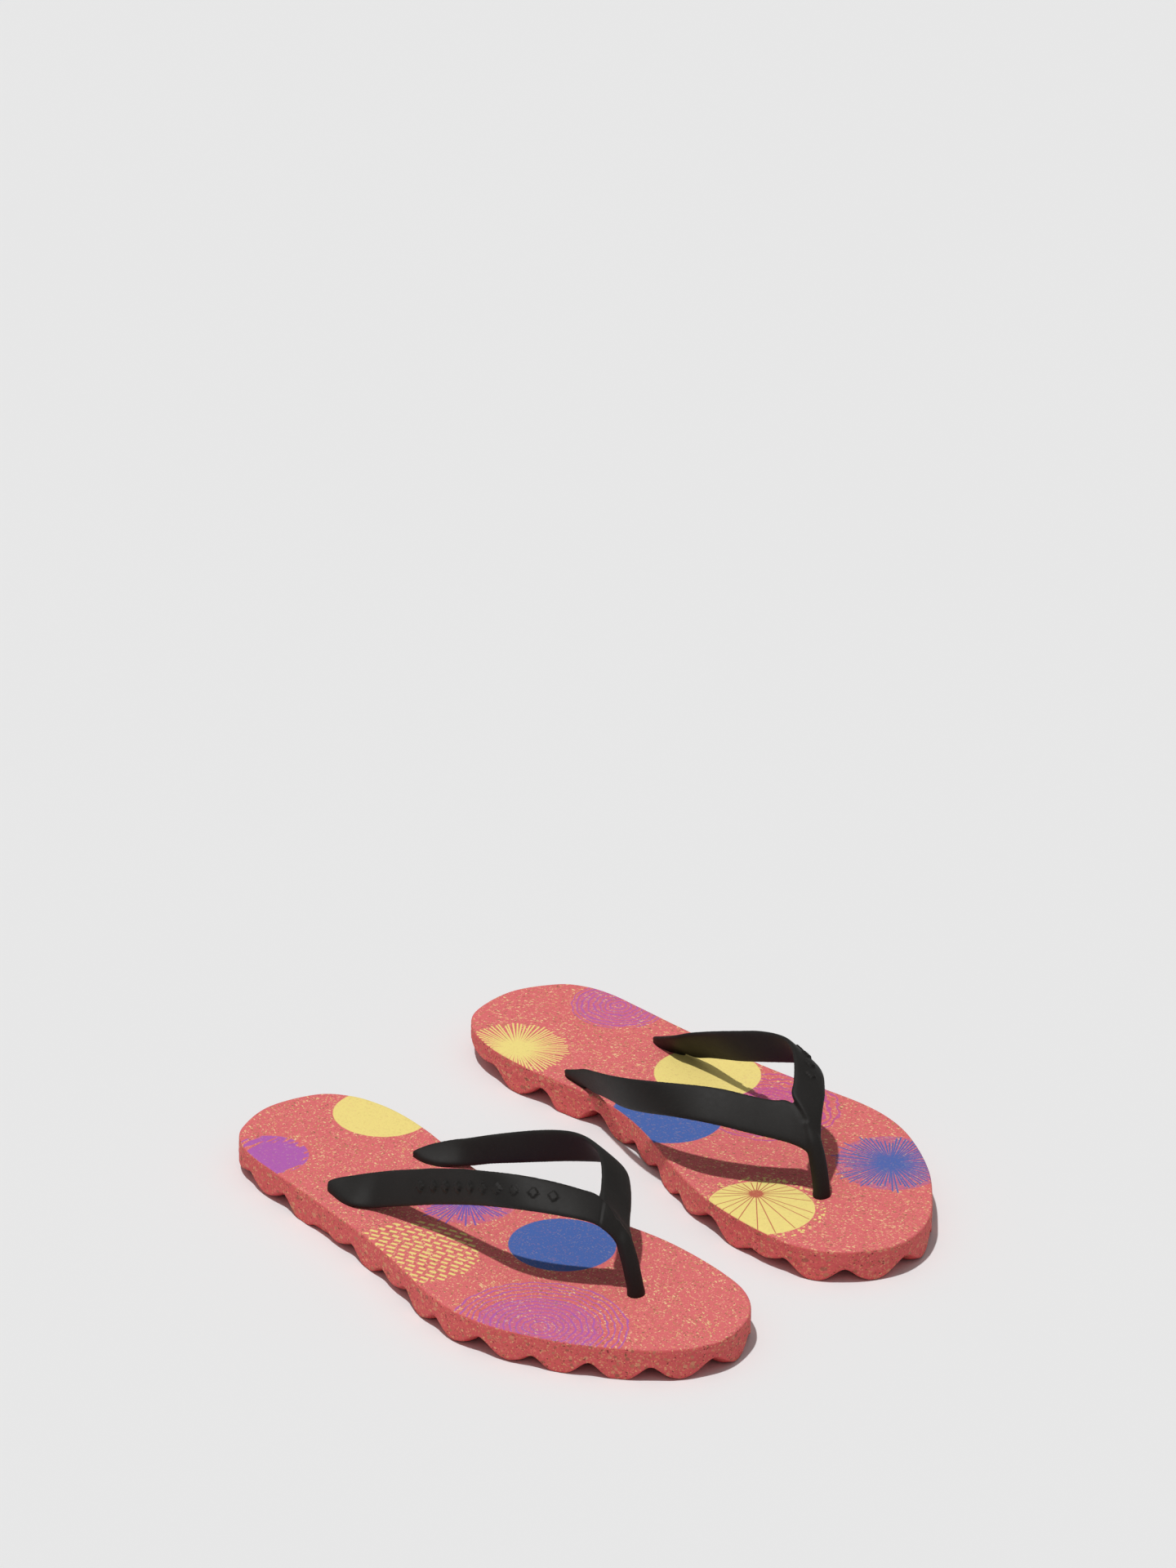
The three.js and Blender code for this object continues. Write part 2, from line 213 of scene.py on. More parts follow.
# Strap arms, stations from rear to fork: x, y, z of the rear/upper edge, then x, y, z of the
# front/lower edge. All strap heights are above the footbed.
ARMS = {
    "outer": [
        (-34, -14.9, 15.5, -29, -23.1, 4.3), (-24, -15.8, 20.3, -18, -21.9, 8.8),
        (-14, -16.1, 24.9, -8, -20.6, 12.9), (-4, -16.8, 29.2, 2, -20.5, 17),
        (6, -17.5, 33.4, 12, -20.9, 21.1), (16, -17.6, 36.7, 22, -21.8, 25.1),
        (25, -16.2, 39, 31, -22.6, 28.5), (33, -13.1, 39.9, 40, -21.2, 30.7),
        (40, -8.9, 39.5, 47.5, -18, 31.4), (46, -4.6, 38.4, 54, -13.6, 31.0),
        (51.5, 0, 36.6, 60, -9, 30.1), (56, 4.4, 34.4, 65, -4.2, 27.9),
        (62, 4.9, 31, 69, -0.4, 23.3), (67.5, 4.9, 25.5, 71.6, 1.6, 18.5),
        (71.5, 4.9, 18, 73, 3, 14.5),
    ],
    "inner": [
        (-32, 33, 14.2, -28, 30.3, 3.9), (-22, 35.9, 18.4, -18, 33.5, 7.2),
        (-12, 38, 22.5, -8, 36.9, 10.4), (-2, 39.1, 26.3, 3, 39.4, 14.3),
        (8, 38.4, 29.7, 14, 40.6, 18.3), (17, 35.9, 32.1, 24, 40.8, 21.9),
        (25, 32.3, 33.7, 33, 39.4, 24.3), (32, 28.4, 34.7, 41, 35.8, 25.1),
        (39, 23.2, 34.7, 48, 30.5, 24.5), (45, 17.8, 33.5, 55, 24, 22.9),
        (51, 11.4, 32.1, 61, 17.6, 21.2), (56, 5.6, 32, 66, 12.6, 19.6),
        (62, 5, 29.3, 70, 9.6, 18.2), (67.5, 4.9, 24.2, 72.4, 7.6, 16),
        (71.5, 4.9, 17.7, 73.5, 6.4, 13.7),
    ],
}
# The straps settle a little to one side where they enter the soles, so the rear ends differ
# per sandal; same columns as ARMS.
REAR_ENDS = {
    ("right", "outer"): [
        (-61.3, -24.8, 3.3, -60.2, -25.9, 1.4), (-59.0, -22.2, 4.6, -55.8, -27.0, 0.9),
        (-54.9, -19.0, 6.0, -49.3, -28.4, 0.9), (-49.4, -16.7, 8.3, -43.0, -28.4, 0.9),
        (-41.8, -14.6, 11.6, -37.0, -25.0, 1.2),
    ],
    ("right", "inner"): [
        (-58.1, 16.9, 2.3, -57.5, 17.7, 1.0), (-56.3, 21.1, 3.4, -52.0, 16.9, 0.9),
        (-53.3, 25.5, 4.8, -46.3, 18.4, 0.9), (-47.5, 28.8, 7.3, -41.3, 21.5, 0.9),
        (-40.5, 30.3, 10.4, -35.9, 26.4, 1.2),
    ],
    ("left", "outer"): [
        (-59.1, -17.3, 2.3, -58.4, -17.8, 1.0), (-56.9, -16.1, 3.6, -52.7, -17.6, 0.9),
        (-52.8, -15.2, 5.6, -47.1, -19.4, 0.9), (-48.1, -14.5, 8.0, -42.3, -21.6, 0.9),
        (-41.3, -13.8, 11.5, -36.6, -22.8, 1.2),
    ],
    ("left", "inner"): [
        (-57.2, 27.0, 2.3, -56.6, 27.6, 1.0), (-55.3, 29.0, 3.4, -52.4, 27.4, 0.9),
        (-52.2, 29.4, 4.9, -46.8, 27.4, 0.9), (-47.4, 29.7, 7.3, -42.2, 27.5, 0.9),
        (-41.0, 30.7, 10.5, -36.3, 28.1, 1.2),
    ],
}
ARM_T = 2.6
ARM_PARTS = 6  # spline parts between stations
# toe post centre line, fork to sole: x, y, z
POST_LINE = [
    (66.5, 4.8, 27), (70, 4.7, 21.5), (72.6, 4.7, 16.5), (74.6, 4.8, 11.5),
    (76.1, 4.9, 6.5), (77.3, 5.1, 1.7), (77.5, 5.1, -3.6),
]
POST_HALF_WIDTH, POST_HALF_DEPTH = 3.3, 2.9
POST_PARTS = 4
POST_SEGMENTS = 28
# seam where the inner arm's rim runs on over the outer arm: x, y, z
SEAM = [
    (52.6, 10.8, 32.4), (57.4, 6.4, 31.8), (60.6, 3.3, 31.6), (63.3, 0.3, 31.0),
    (65.5, -2.6, 28.8), (67.2, -5.2, 25.8),
]
SEAM_NORMAL = np.array([0.62, -0.30, 0.72])
SEAM_FADE = 6.0  # run-out past either end
FORK = (64.5, 4.5, 27.5)
# raised lozenges on the outer arm: place of the first along it, pitch, gaps, half sizes
LOZENGE_START, LOZENGE_PITCH, LOZENGE_GAPS = 49.0, 7.6, 9
LOZENGE_HALF_LENGTH, LOZENGE_HALF_WIDTH = 2.3, 2.7

# strap mesh: voxel size, smoothing passes, extra passes at the fork and ends
VOXEL, SMOOTH_PASSES, MELT_PASSES = (0.8, 3, 25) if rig.quick() else (0.42, 6, 60)


# ---- frames and curves ------------------------------------------------------
def to_row(points, side):
    """Own-frame millimetres to the pair's frame in metres."""
    points = np.asarray(points, float).reshape(-1, 3)
    cos, sin = math.cos(YAW), math.sin(YAW)
    x = STAGGER + SHIFT + points[:, 0] * cos - points[:, 1] * sin
    y = -HALF_SPACING + points[:, 0] * sin + points[:, 1] * cos
    if side == "left":
        x, y = x - 2 * STAGGER, -y
    return np.stack([x, y, points[:, 2]], 1) / 1000


def smoothstep(x, low, high):
    t = np.clip((x - low) / (high - low), 0, 1)
    return t * t * (3 - 2 * t)


def unit(rows):
    return rows / np.linalg.norm(rows, axis=1)[:, None]


def run_length(points):
    return np.r_[0, np.cumsum(np.linalg.norm(np.diff(points, axis=0), axis=1))]


def catmull_rom(points, parts):
    """Curve through all but the first and last point, in equal parts per span."""
    curve = []
    for before, start, end, after in zip(points, points[1:], points[2:], points[3:]):
        for t in np.arange(0, 1, 1 / parts):
            curve.append(0.5 * (2 * start + (end - before) * t
                                + (2 * before - 5 * start + 4 * end - after) * t * t
                                + (3 * start - before - 3 * end + after) * t ** 3))
    return curve


def spline(points, parts):
    """Open curve through every point."""
    points = np.array(points, float)
    padded = np.vstack([2 * points[:1] - points[1:2], points, 2 * points[-1:] - points[-2:-1]])
    return np.array(catmull_rom(padded, parts) + [points[-1]])


# ---- meshes -----------------------------------------------------------------
def bridge(faces, first, second, count):
    """Quads between two rings of vertices, given by their first indices."""
    for k in range(count):
        m = (k + 1) % count
        faces.append((first + k, first + m, second + m, second + k))


def mark_sharp(mesh, angle):
    """Mark the edges whose faces meet at more than this many degrees."""
    normals = np.zeros(len(mesh.polygons) * 3, np.float32)
    mesh.polygons.foreach_get("normal", normals)
    normals = normals.reshape(-1, 3)
    loop_edges = np.zeros(len(mesh.loops), np.int32)
    mesh.loops.foreach_get("edge_index", loop_edges)
    sharp = np.zeros(len(mesh.edges), bool)
    seen = {}
    limit = math.cos(math.radians(angle))
    for poly in mesh.polygons:
        for k in range(poly.loop_start, poly.loop_start + poly.loop_total):
            edge = loop_edges[k]
            if edge in seen:
                sharp[edge] = normals[seen[edge]] @ normals[poly.index] < limit
            else:
                seen[edge] = poly.index
    mark = mesh.attributes.new("sharp_edge", "BOOLEAN", "EDGE")
    mark.data.foreach_set("value", sharp)


def make_object(name, verts, faces, side, material, sharp_angle=None):
    """Object in the pair's frame; its own-frame millimetres are kept as point attribute lp."""
    verts = np.asarray(verts, float)
    mesh = bpy.data.meshes.new(name)
    if side == "left":
        faces = [tuple(reversed(f)) for f in faces]
    faces = [tuple(int(i) for i in f) for f in faces]
    mesh.from_pydata(to_row(verts, side).tolist(), [], faces)
    mesh.validate()
    attribute = mesh.attributes.new("lp", "FLOAT_VECTOR", "POINT")
    attribute.data.foreach_set("vector", verts.astype(np.float32).ravel())
    mesh.materials.append(material)
    mesh.polygons.foreach_set("use_smooth", [True] * len(mesh.polygons))
    if sharp_angle:
        mark_sharp(mesh, sharp_angle)
    mesh.update()
    made = bpy.data.objects.new(name, mesh)
    bpy.context.scene.collection.objects.link(made)
    return made


# ---- sole -------------------------------------------------------------------
def rim_loop(step):
    """Evenly spaced outline, counter-clockwise from above, and its outward directions."""
    outline = np.array(OUTLINE, float)
    curve = np.array(catmull_rom(np.vstack([outline[-1:], outline, outline[:2]]), 24))[::-1]
    closed = np.vstack([curve, curve[:1]])
    length = run_length(closed)
    at = np.linspace(0, length[-1], int(length[-1] / step), endpoint=False)
    loop = np.stack([np.interp(at, length, closed[:, k]) for k in (0, 1)], 1)
    tangent = unit(np.roll(loop, -1, 0) - np.roll(loop, 1, 0))
    return loop, np.stack([tangent[:, 1], -tangent[:, 0]], 1)


def rim_distance(points, loop):
    """Distance to the loop, positive inside and negative outside."""
    px, py = points[:, 0], points[:, 1]
    ends = np.roll(loop, -1, 0)
    best = np.full(len(points), 1e9)
    inside = np.zeros(len(points), bool)
    for (ax, ay), (bx, by), (dx, dy) in zip(loop, ends, ends - loop):
        along = np.clip(((px - ax) * dx + (py - ay) * dy) / (dx * dx + dy * dy + 1e-12), 0, 1)
        best = np.minimum(best, np.hypot(px - ax - along * dx, py - ay - along * dy))
        crosses = (ay > py) != (by > py)
        if abs(dy) > 1e-12:
            inside ^= crosses & (px < dx * (py - ay) / dy + ax)
    return np.where(inside, best, -best)


def all_mounds():
    """The rim mounds, and a staggered grid of inner ones where there is room."""
    rim, _ = rim_loop(5.0)
    mounds = list(RIM_MOUNDS)
    for i in range(12):
        for j in range(6):
            x, y = -108 + i * 20, -53 + j * 22 + (i % 2) * 11
            near_rim = rim_distance(np.array([[x, y]], float), rim)[0] < 12
            near_mound = any(math.hypot(m[0] - x, m[1] - y) < 16.5 for m in mounds)
            near_plug = any(math.hypot(p[0] - x, p[1] - y) < p[2] + 10 for p in PLUGS.values())
            if not (near_rim or near_mound or near_plug or abs(x - FLEX_X) < 7):
                mounds.append((x, y, 0.94))
    return mounds


MOUNDS = all_mounds()


def tread_height(points):
    """Height of the sole's underside above the floor."""
    hollow = np.ones(len(points))
    for x, y, share in MOUNDS:
        away = np.hypot(points[:, 0] - x, points[:, 1] - y)
        t = np.clip((away - MOUND_FLAT) / (MOUND_RADIUS - MOUND_FLAT), 0, 1)
        hollow *= 1 - share * 0.5 * (1 + np.cos(math.pi * t))
    for x, y, radius in PLUGS.values():
        away = np.hypot(points[:, 0] - x, points[:, 1] - y)
        hollow *= smoothstep(away - radius - PAD_MARGIN, 0, PAD_SLOPE)
    z = VALLEY * (1 - CREST_TRIM * (1 - hollow))
    # the crests roll over to the floor plane
    soft = CREST_SOFT
    return np.where(z > soft, z, np.where(z < -soft, 0.0, (z + soft) ** 2 / (4 * soft)))


def hex_grid(pitch):
    """Staggered rows of points over the whole sole."""
    points = []
    row_pitch = pitch * math.sqrt(3) / 2
    for j in range(int(112 / row_pitch) + 1):
        start = -128 + (pitch / 2 if j % 2 else 0)
        points += [(x, -58 + j * row_pitch) for x in np.arange(start, 128, pitch)]
    return np.array(points)


def fill(boundary, circles, interior):
    """Triangles that fill the boundary outside the circles.

    They index the boundary, circle and interior points in that order.
    """
    coords = np.vstack([boundary] + circles + [interior])
    edges = []
    start = 0
    for loop in [boundary] + circles:
        count = len(loop)
        edges += [(start + k, start + (k + 1) % count) for k in range(count)]
        start += count
    result = delaunay_2d_cdt([Vector(c) for c in coords], edges, [], 0, 1e-6)
    source = [s[0] if len(s) else -1 for s in result[3]]
    tris = [[source[i] for i in face] for face in result[2]]
    tris = np.array([t for t in tris if min(t) >= 0 and len(set(t)) == 3])
    middle = coords[tris].mean(1)
    keep = rim_distance(middle, boundary) > 0
    for loop in circles:
        keep &= rim_distance(middle, loop) < 0
    tris = tris[keep]
    first, second, third = (coords[tris[:, k]] for k in range(3))
    area = ((second[:, 0] - first[:, 0]) * (third[:, 1] - first[:, 1])
            - (second[:, 1] - first[:, 1]) * (third[:, 0] - first[:, 0]))
    solid = np.abs(area) > 1e-9
    tris, area = tris[solid], area[solid]
    tris[area < 0] = tris[area < 0][:, ::-1]
    return tris


def circle(x, y, radius):
    angle = np.arange(RECESS_SEGMENTS) / RECESS_SEGMENTS * 2 * math.pi
    return np.stack([x + radius * np.cos(angle), y + radius * np.sin(angle)], 1)


def add_wall(verts, faces, seed):
    """Rounded top edge and uneven side; returns the vertex indices of its top and bottom."""
    rim, outward = rim_loop(RIM_STEP)
    count = len(rim)

    def ring(inset, z):
        xy = rim - outward * np.reshape(inset, (-1, 1))
        verts.extend(np.column_stack([xy, np.broadcast_to(z, count)]).tolist())
        return len(verts) - count

    low = tread_height(rim - outward * BOTTOM_INSET)
    wall_low = low + 0.38
    rows = [ring(TOP_ROUND, THICKNESS)]
    for degrees in (67, 45, 22, 0):
        angle = math.radians(degrees)
        rows.append(ring(TOP_ROUND * (1 - math.cos(angle)),
                         THICKNESS - TOP_ROUND * (1 - math.sin(angle))))
    for i in range(1, WALL_STEPS + 1):
        down = i / WALL_STEPS
        z = (THICKNESS - TOP_ROUND) * (1 - down) + wall_low * down
        fade = min(1.0, down * 4) * (1.0 if i < WALL_STEPS else 0.5)
        inset = []
        for k in range(count):
            spot = Vector((rim[k, 0], rim[k, 1], z[k])) + Vector((seed, 0, 0))
            inset.append(-fade * (0.20 * noise.noise(spot * 0.55)
                                  + 0.13 * noise.noise(spot * 1.7)))
        rows.append(ring(np.array(inset), z))
    rows.append(ring(0.12, low + 0.12))
    rows.append(ring(BOTTOM_INSET, low))
    for upper, lower in zip(rows, rows[1:]):
        bridge(faces, lower, upper, count)
    return [list(range(start, start + count)) for start in (rows[0], rows[-1])]


def add_footbed(verts, faces, rim, seed):
    """Slightly uneven top with a shallow dimple round the toe post."""
    boundary = np.array([verts[i][:2] for i in rim])
    grid = hex_grid(FOOTBED_PITCH)
    grid = grid[rim_distance(grid, boundary) > 1.2]
    tris = fill(boundary, [], grid)
    index = rim + list(range(len(verts), len(verts) + len(grid)))
    toe_x, toe_y, _ = PLUGS["toe"]
    away = np.hypot(grid[:, 0] - toe_x, grid[:, 1] - toe_y)
    z = np.full(len(grid), THICKNESS)
    z -= 0.5 * np.exp(-(np.maximum(0, away - 3.0) / 1.5) ** 2)
    for k, (x, y) in enumerate(grid):
        spot = Vector((x + seed, y, 0))
        z[k] += 0.05 * noise.noise(spot * 0.35) + 0.035 * noise.noise(spot * 1.1)
    verts.extend(np.column_stack([grid, z]).tolist())
    faces.extend(tuple(index[i] for i in t) for t in tris)


def add_tread(verts, faces, rim, seed):
    """Underside round the recess mouths; returns the first vertex of each mouth."""
    boundary = np.array([verts[i][:2] for i in rim])
    mouths = [circle(x, y, radius + RECESS_GAP + RECESS_CHAMFER)
              for x, y, radius in PLUGS.values()]
    grid = hex_grid(TREAD_PITCH)
    keep = rim_distance(grid, boundary) > 0.9
    for x, y, radius in PLUGS.values():
        keep &= np.hypot(grid[:, 0] - x, grid[:, 1] - y) > radius + RECESS_GAP + 1.2
    grid = grid[keep]
    tris = fill(boundary, mouths, grid)
    base = len(verts)
    starts = []
    for mouth in mouths:
        starts.append(len(verts))
        verts.extend((x, y, 0.0) for x, y in mouth)
    z = tread_height(grid)
    for k, (x, y) in enumerate(grid):
        if z[k] > 0.4:
            z[k] += 0.1 * noise.noise(Vector((x + seed, y, z[k])) * 0.9)
    verts.extend(np.column_stack([grid, z]).tolist())
    index = rim + list(range(base, len(verts)))
    faces.extend(tuple(index[i] for i in reversed(t)) for t in tris.tolist())
    return starts


def add_recess(verts, faces, mouth, x, y, radius):
    """Stepped blind hole for a disc and its stem."""
    wide = radius + RECESS_GAP
    # radius, height
    profile = [(wide, RECESS_CHAMFER), (wide, 1.6), (wide, 3.5), (radius + 0.05, RECESS_DEPTH),
               ((radius + 4.4) / 2, RECESS_DEPTH), (4.2, RECESS_DEPTH), (3.9, 4.1), (3.9, 7.0),
               (3.9, 9.5), (3.6, 9.8), (1.8, 9.8)]
    count = RECESS_SEGMENTS
    last = mouth
    for ring_radius, z in profile:
        base = len(verts)
        verts.extend((cx, cy, z) for cx, cy in circle(x, y, ring_radius))
        for k in range(count):
            m = (k + 1) % count
            faces.append((last + k, base + k, base + m, last + m))
        last = base
    verts.append((x, y, profile[-1][1]))
    for k in range(count):
        faces.append((last + k, len(verts) - 1, last + (k + 1) % count))


def sole_mesh(seed):
    verts, faces = [], []
    top, bottom = add_wall(verts, faces, seed)
    add_footbed(verts, faces, top, seed)
    mouths = add_tread(verts, faces, bottom, seed)
    for plug, mouth in zip(PLUGS.values(), mouths):
        add_recess(verts, faces, mouth, *plug)
    return np.array(verts), faces


# ---- strap ------------------------------------------------------------------
def loft(rings, verts, faces):
    """Closed skin over rings of points, with flat ends."""
    base = len(verts)
    count = len(rings[0])
    last = base + (len(rings) - 1) * count
    for ring in rings:
        verts.extend(tuple(point) for point in ring)
    for start in range(base, last, count):
        bridge(faces, start, start + count, count)
    faces.append(tuple(base + k for k in reversed(range(count))))
    faces.append(tuple(last + k for k in range(count)))


def arm_rows(side, arm):
    return np.array(REAR_ENDS[side, arm] + ARMS[arm], float)


def arm_frames(rows, parts):
    """Middle, half-width vector and face normal along an arm."""
    upper = spline(rows[:, :3], parts)
    lower = spline(rows[:, 3:], parts)
    middle = (upper + lower) / 2
    wide = (upper - lower) / 2
    return middle, wide, unit(np.cross(unit(np.gradient(middle, axis=0)), wide))


# arm section: place across, -1 to 1, and half thickness there as a share of the full one
ACROSS = np.sin(np.linspace(-1, 1, 15) * math.pi / 2)
HALF = (0.5 - 0.15 * ACROSS ** 2) * np.sqrt(np.clip(1 - np.abs(ACROSS) ** 10, 0.06, 1))


def arm_rings(rows):
    middle, wide, normal = arm_frames(rows, ARM_PARTS)
    rings = []
    for i in range(len(middle)):
        station = i / ARM_PARTS
        # thin at the rear end, thicker at the fork
        thick = ARM_T * (0.62 + 0.28 * min(1, station / 1.5) + 0.1 * min(1, station / 3)
                         + 0.22 * np.clip((station - 14.5) / 2, 0, 1))
        outer = [middle[i] + wide[i] * u + normal[i] * half * thick
                 for u, half in zip(ACROSS, HALF)]
        inner = [middle[i] + wide[i] * u - normal[i] * half * thick
                 for u, half in zip(ACROSS[::-1], HALF[::-1])]
        rings.append(outer + inner)
    return rings


def root_rings(rows):
    """Web below the lower edge of an arm's rear end, running on down into the sole."""
    edge = spline(rows[:4, 3:], ARM_PARTS)
    under = spline(rows[:4, :3], ARM_PARTS) - edge
    under[:, 2] = 0
    under = unit(under)
    run = unit(np.gradient(edge, axis=0))
    run[:, 2] = 0
    run = run / 1.0 if False else unit_flat(edge)
    rings = []
    for i, point in enumerate(edge):
        half = math.sqrt(max(0.1, 1 - abs(2 * i / (len(edge) - 1) - 1) ** 5))
        centre = (point + under[i] * 0.75)[:2]
        sideways = np.array((-run[i][1], run[i][0]))
        top = point[2] + 0.55
        section = ((-1, -1.1), (-0.7, -1.3), (0, -1.3), (0.7, -1.3), (1, -1.1), (1, 0.3),
                   (0.9, top - 0.2), (0.6, top), (-0.6, top), (-0.9, top - 0.2), (-1, 0.3))
        rings.append([(*(centre + sideways * u * half), z) for u, z in section])
    return rings


def unit_flat(line):
    """Level unit directions along a line."""
    run = np.gradient(line, axis=0)
    run[:, 2] = 0
    return unit(run)


def post_rings():
    line = spline(POST_LINE, POST_PARTS)
    along = np.gradient(line, axis=0)
    side = np.array([0, 1.0, 0])
    rings = []
    for i, centre in enumerate(line):
        down = along[i] / np.linalg.norm(along[i])
        if i >= len(line) - POST_PARTS:
            down = np.array([0, 0, -1.0])
        fore = np.cross(down, side)
        # the foot of the post spreads a little where it meets the footbed
        swell = 1 + 0.06 * math.exp(-((centre[2] - 0.5) / 1.2) ** 2)
        # and its top end tapers away inside the fork
        swell *= 0.4 + 0.6 * float(smoothstep(i / POST_PARTS, 0.0, 1.4))
        ring = []
        for k in range(POST_SEGMENTS):
            angle = 2 * math.pi * k / POST_SEGMENTS
            u, v = math.cos(angle), math.sin(angle)
            sideways = math.copysign(abs(u) ** 0.85, u) * POST_HALF_WIDTH * swell
            forward = math.copysign(abs(v) ** 0.85, v) * POST_HALF_DEPTH * swell
            ring.append(centre + side * sideways + fore * forward)
        rings.append(ring)
    return rings


def fuse(verts, faces):
    """Merge overlapping skins into one smoothed surface."""
    mesh = bpy.data.meshes.new("strap_base")
    mesh.from_pydata([tuple(map(float, v)) for v in verts], [], faces)
    mesh.validate()
    editable = bmesh.new()
    editable.from_mesh(mesh)
    bmesh.ops.recalc_face_normals(editable, faces=editable.faces)
    editable.to_mesh(mesh)
    editable.free()
    base = bpy.data.objects.new("strap_base", mesh)
    bpy.context.scene.collection.objects.link(base)
    remesh = base.modifiers.new("remesh", "REMESH")
    remesh.mode = "VOXEL"
    remesh.voxel_size = VOXEL
    remesh.adaptivity = 0
    smooth = base.modifiers.new("smooth", "SMOOTH")
    smooth.factor = 0.5
    smooth.iterations = SMOOTH_PASSES
    depsgraph = bpy.context.evaluated_depsgraph_get()
    fused = bpy.data.meshes.new_from_object(base.evaluated_get(depsgraph))
    coords = np.zeros(len(fused.vertices) * 3, np.float32)
    fused.vertices.foreach_get("co", coords)
    polys = [tuple(p.vertices) for p in fused.polygons]
    bpy.data.objects.remove(base)
    bpy.data.meshes.remove(mesh)
    bpy.data.meshes.remove(fused)
    return coords.reshape(-1, 3).astype(float), polys


def melt(coords, polys, spots):
    """Laplacian smoothing that fades out between two radii round each spot."""
    weight = np.zeros(len(coords))
    for spot, near, far in spots:
        away = np.linalg.norm(coords - np.array(spot), axis=1)
        weight = np.maximum(weight, 1 - smoothstep(away, near, far))
    edges = np.array([(f[k], f[(k + 1) % len(f)]) for f in polys for k in range(len(f))])
    edges = edges[(weight[edges[:, 0]] > 0) | (weight[edges[:, 1]] > 0)]
    start, end = edges[:, 0], edges[:, 1]
    size = len(coords)
    count = np.bincount(start, minlength=size)
    touched = (count > 0)[:, None]
    count = np.maximum(count, 1)[:, None]
    for i in range(2 * MELT_PASSES):
        total = np.stack([np.bincount(start, weights=coords[end, k], minlength=size)
                          for k in range(3)], 1)
        # every second pass swells back, so the form keeps its size
        pull = 0.5 if i % 2 == 0 else -0.43
        coords = coords + (total / count - coords) * (pull * weight)[:, None] * touched
    return coords


def vertex_normals(coords, polys):
    tris = np.array([(f[0], f[k], f[k + 1]) for f in polys for k in range(1, len(f) - 1)])
    corner = coords[tris[:, 0]]
    normals = np.cross(coords[tris[:, 1]] - corner, coords[tris[:, 2]] - corner)
    total = np.zeros_like(coords)
    for k in range(3):
        np.add.at(total, tris[:, k], normals)
    return total / np.maximum(np.linalg.norm(total, axis=1), 1e-12)[:, None]


def lozenge_lift(side, coords, normals):
    """Height of the small raised lozenges along the outer arm."""
    middle, wide, normal = arm_frames(arm_rows(side, "outer"), 10)
    length = run_length(middle)
    samples = []
    tree = kdtree.KDTree(len(middle) * 29)
    for i in range(len(middle)):
        for u in np.linspace(-1, 1, 29):
            tree.insert(middle[i] + wide[i] * u + normal[i] * ARM_T * 0.45, len(samples))
            samples.append((length[i], u * np.linalg.norm(wide[i]), i))
    tree.balance()
    lift = np.zeros(len(coords))
    first, pitch = LOZENGE_START, LOZENGE_PITCH
    last = first + LOZENGE_GAPS * pitch
    for k in range(len(coords)):
        _, index, away = tree.find(coords[k])
        along, across, i = samples[index]
        if away > 1.1 or not first - 3 < along < last + 3 or normals[k] @ normal[i] < 0.5:
            continue
        centre = first + round((along - first) / pitch) * pitch
        if not first - 0.1 <= centre <= last + 0.1:
            continue
        reach = (abs(along - centre) / LOZENGE_HALF_LENGTH
                 + abs(across - 0.1) / LOZENGE_HALF_WIDTH)
        lift[k] = 0.75 * smoothstep(1.0 - reach, -0.03, 0.24)
    return lift


def add_seam(lift, coords, normals):
    """A low ledge along the seam at the fork, with a fine groove beside it."""
    line = spline(SEAM, 8)
    heading = unit(np.gradient(line, axis=0))
    tree = kdtree.KDTree(len(line))
    for i, point in enumerate(line):
        tree.insert(point, i)
    tree.balance()
    for k in range(len(coords)):
        _, i, away = tree.find(coords[k])
        if away > 9:
            continue
        offset = coords[k] - line[i]
        ahead = offset @ heading[i]
        past = -ahead if i == 0 else ahead if i == len(line) - 1 else 0.0
        if past > SEAM_FADE or normals[k] @ SEAM_NORMAL < 0.35:
            continue
        fade = 1 - smoothstep(past, 0.0, SEAM_FADE)
        across = offset @ np.cross(SEAM_NORMAL, heading[i])
        edge = min(1.0, max(0.0, 1 - (away - 1.5) / 7.5))
        lift[k] += 0.5 * smoothstep(across, -0.35, 0.15) * edge * fade
        lift[k] -= 0.10 * math.exp(-((across + 0.5) / 0.4) ** 2) * fade


def strap_mesh(side):
    verts, faces = [], []
    loft(post_rings(), verts, faces)
    spots = [(FORK, 11.0, 18.0)]
    for arm in ("outer", "inner"):
        rows = arm_rows(side, arm)
        loft(arm_rings(rows), verts, faces)
        loft(root_rings(rows), verts, faces)
        spots.append((np.mean(rows[:3].reshape(6, 3), 0), 7.0, 14.0))
    coords, polys = fuse(verts, faces)
    coords = melt(coords, polys, spots)
    normals = vertex_normals(coords, polys)
    lift = lozenge_lift(side, coords, normals)
    if side == "right":
        add_seam(lift, coords, normals)
    coords = coords + normals * lift[:, None]
    coords[:, 2] += THICKNESS
    return coords, polys


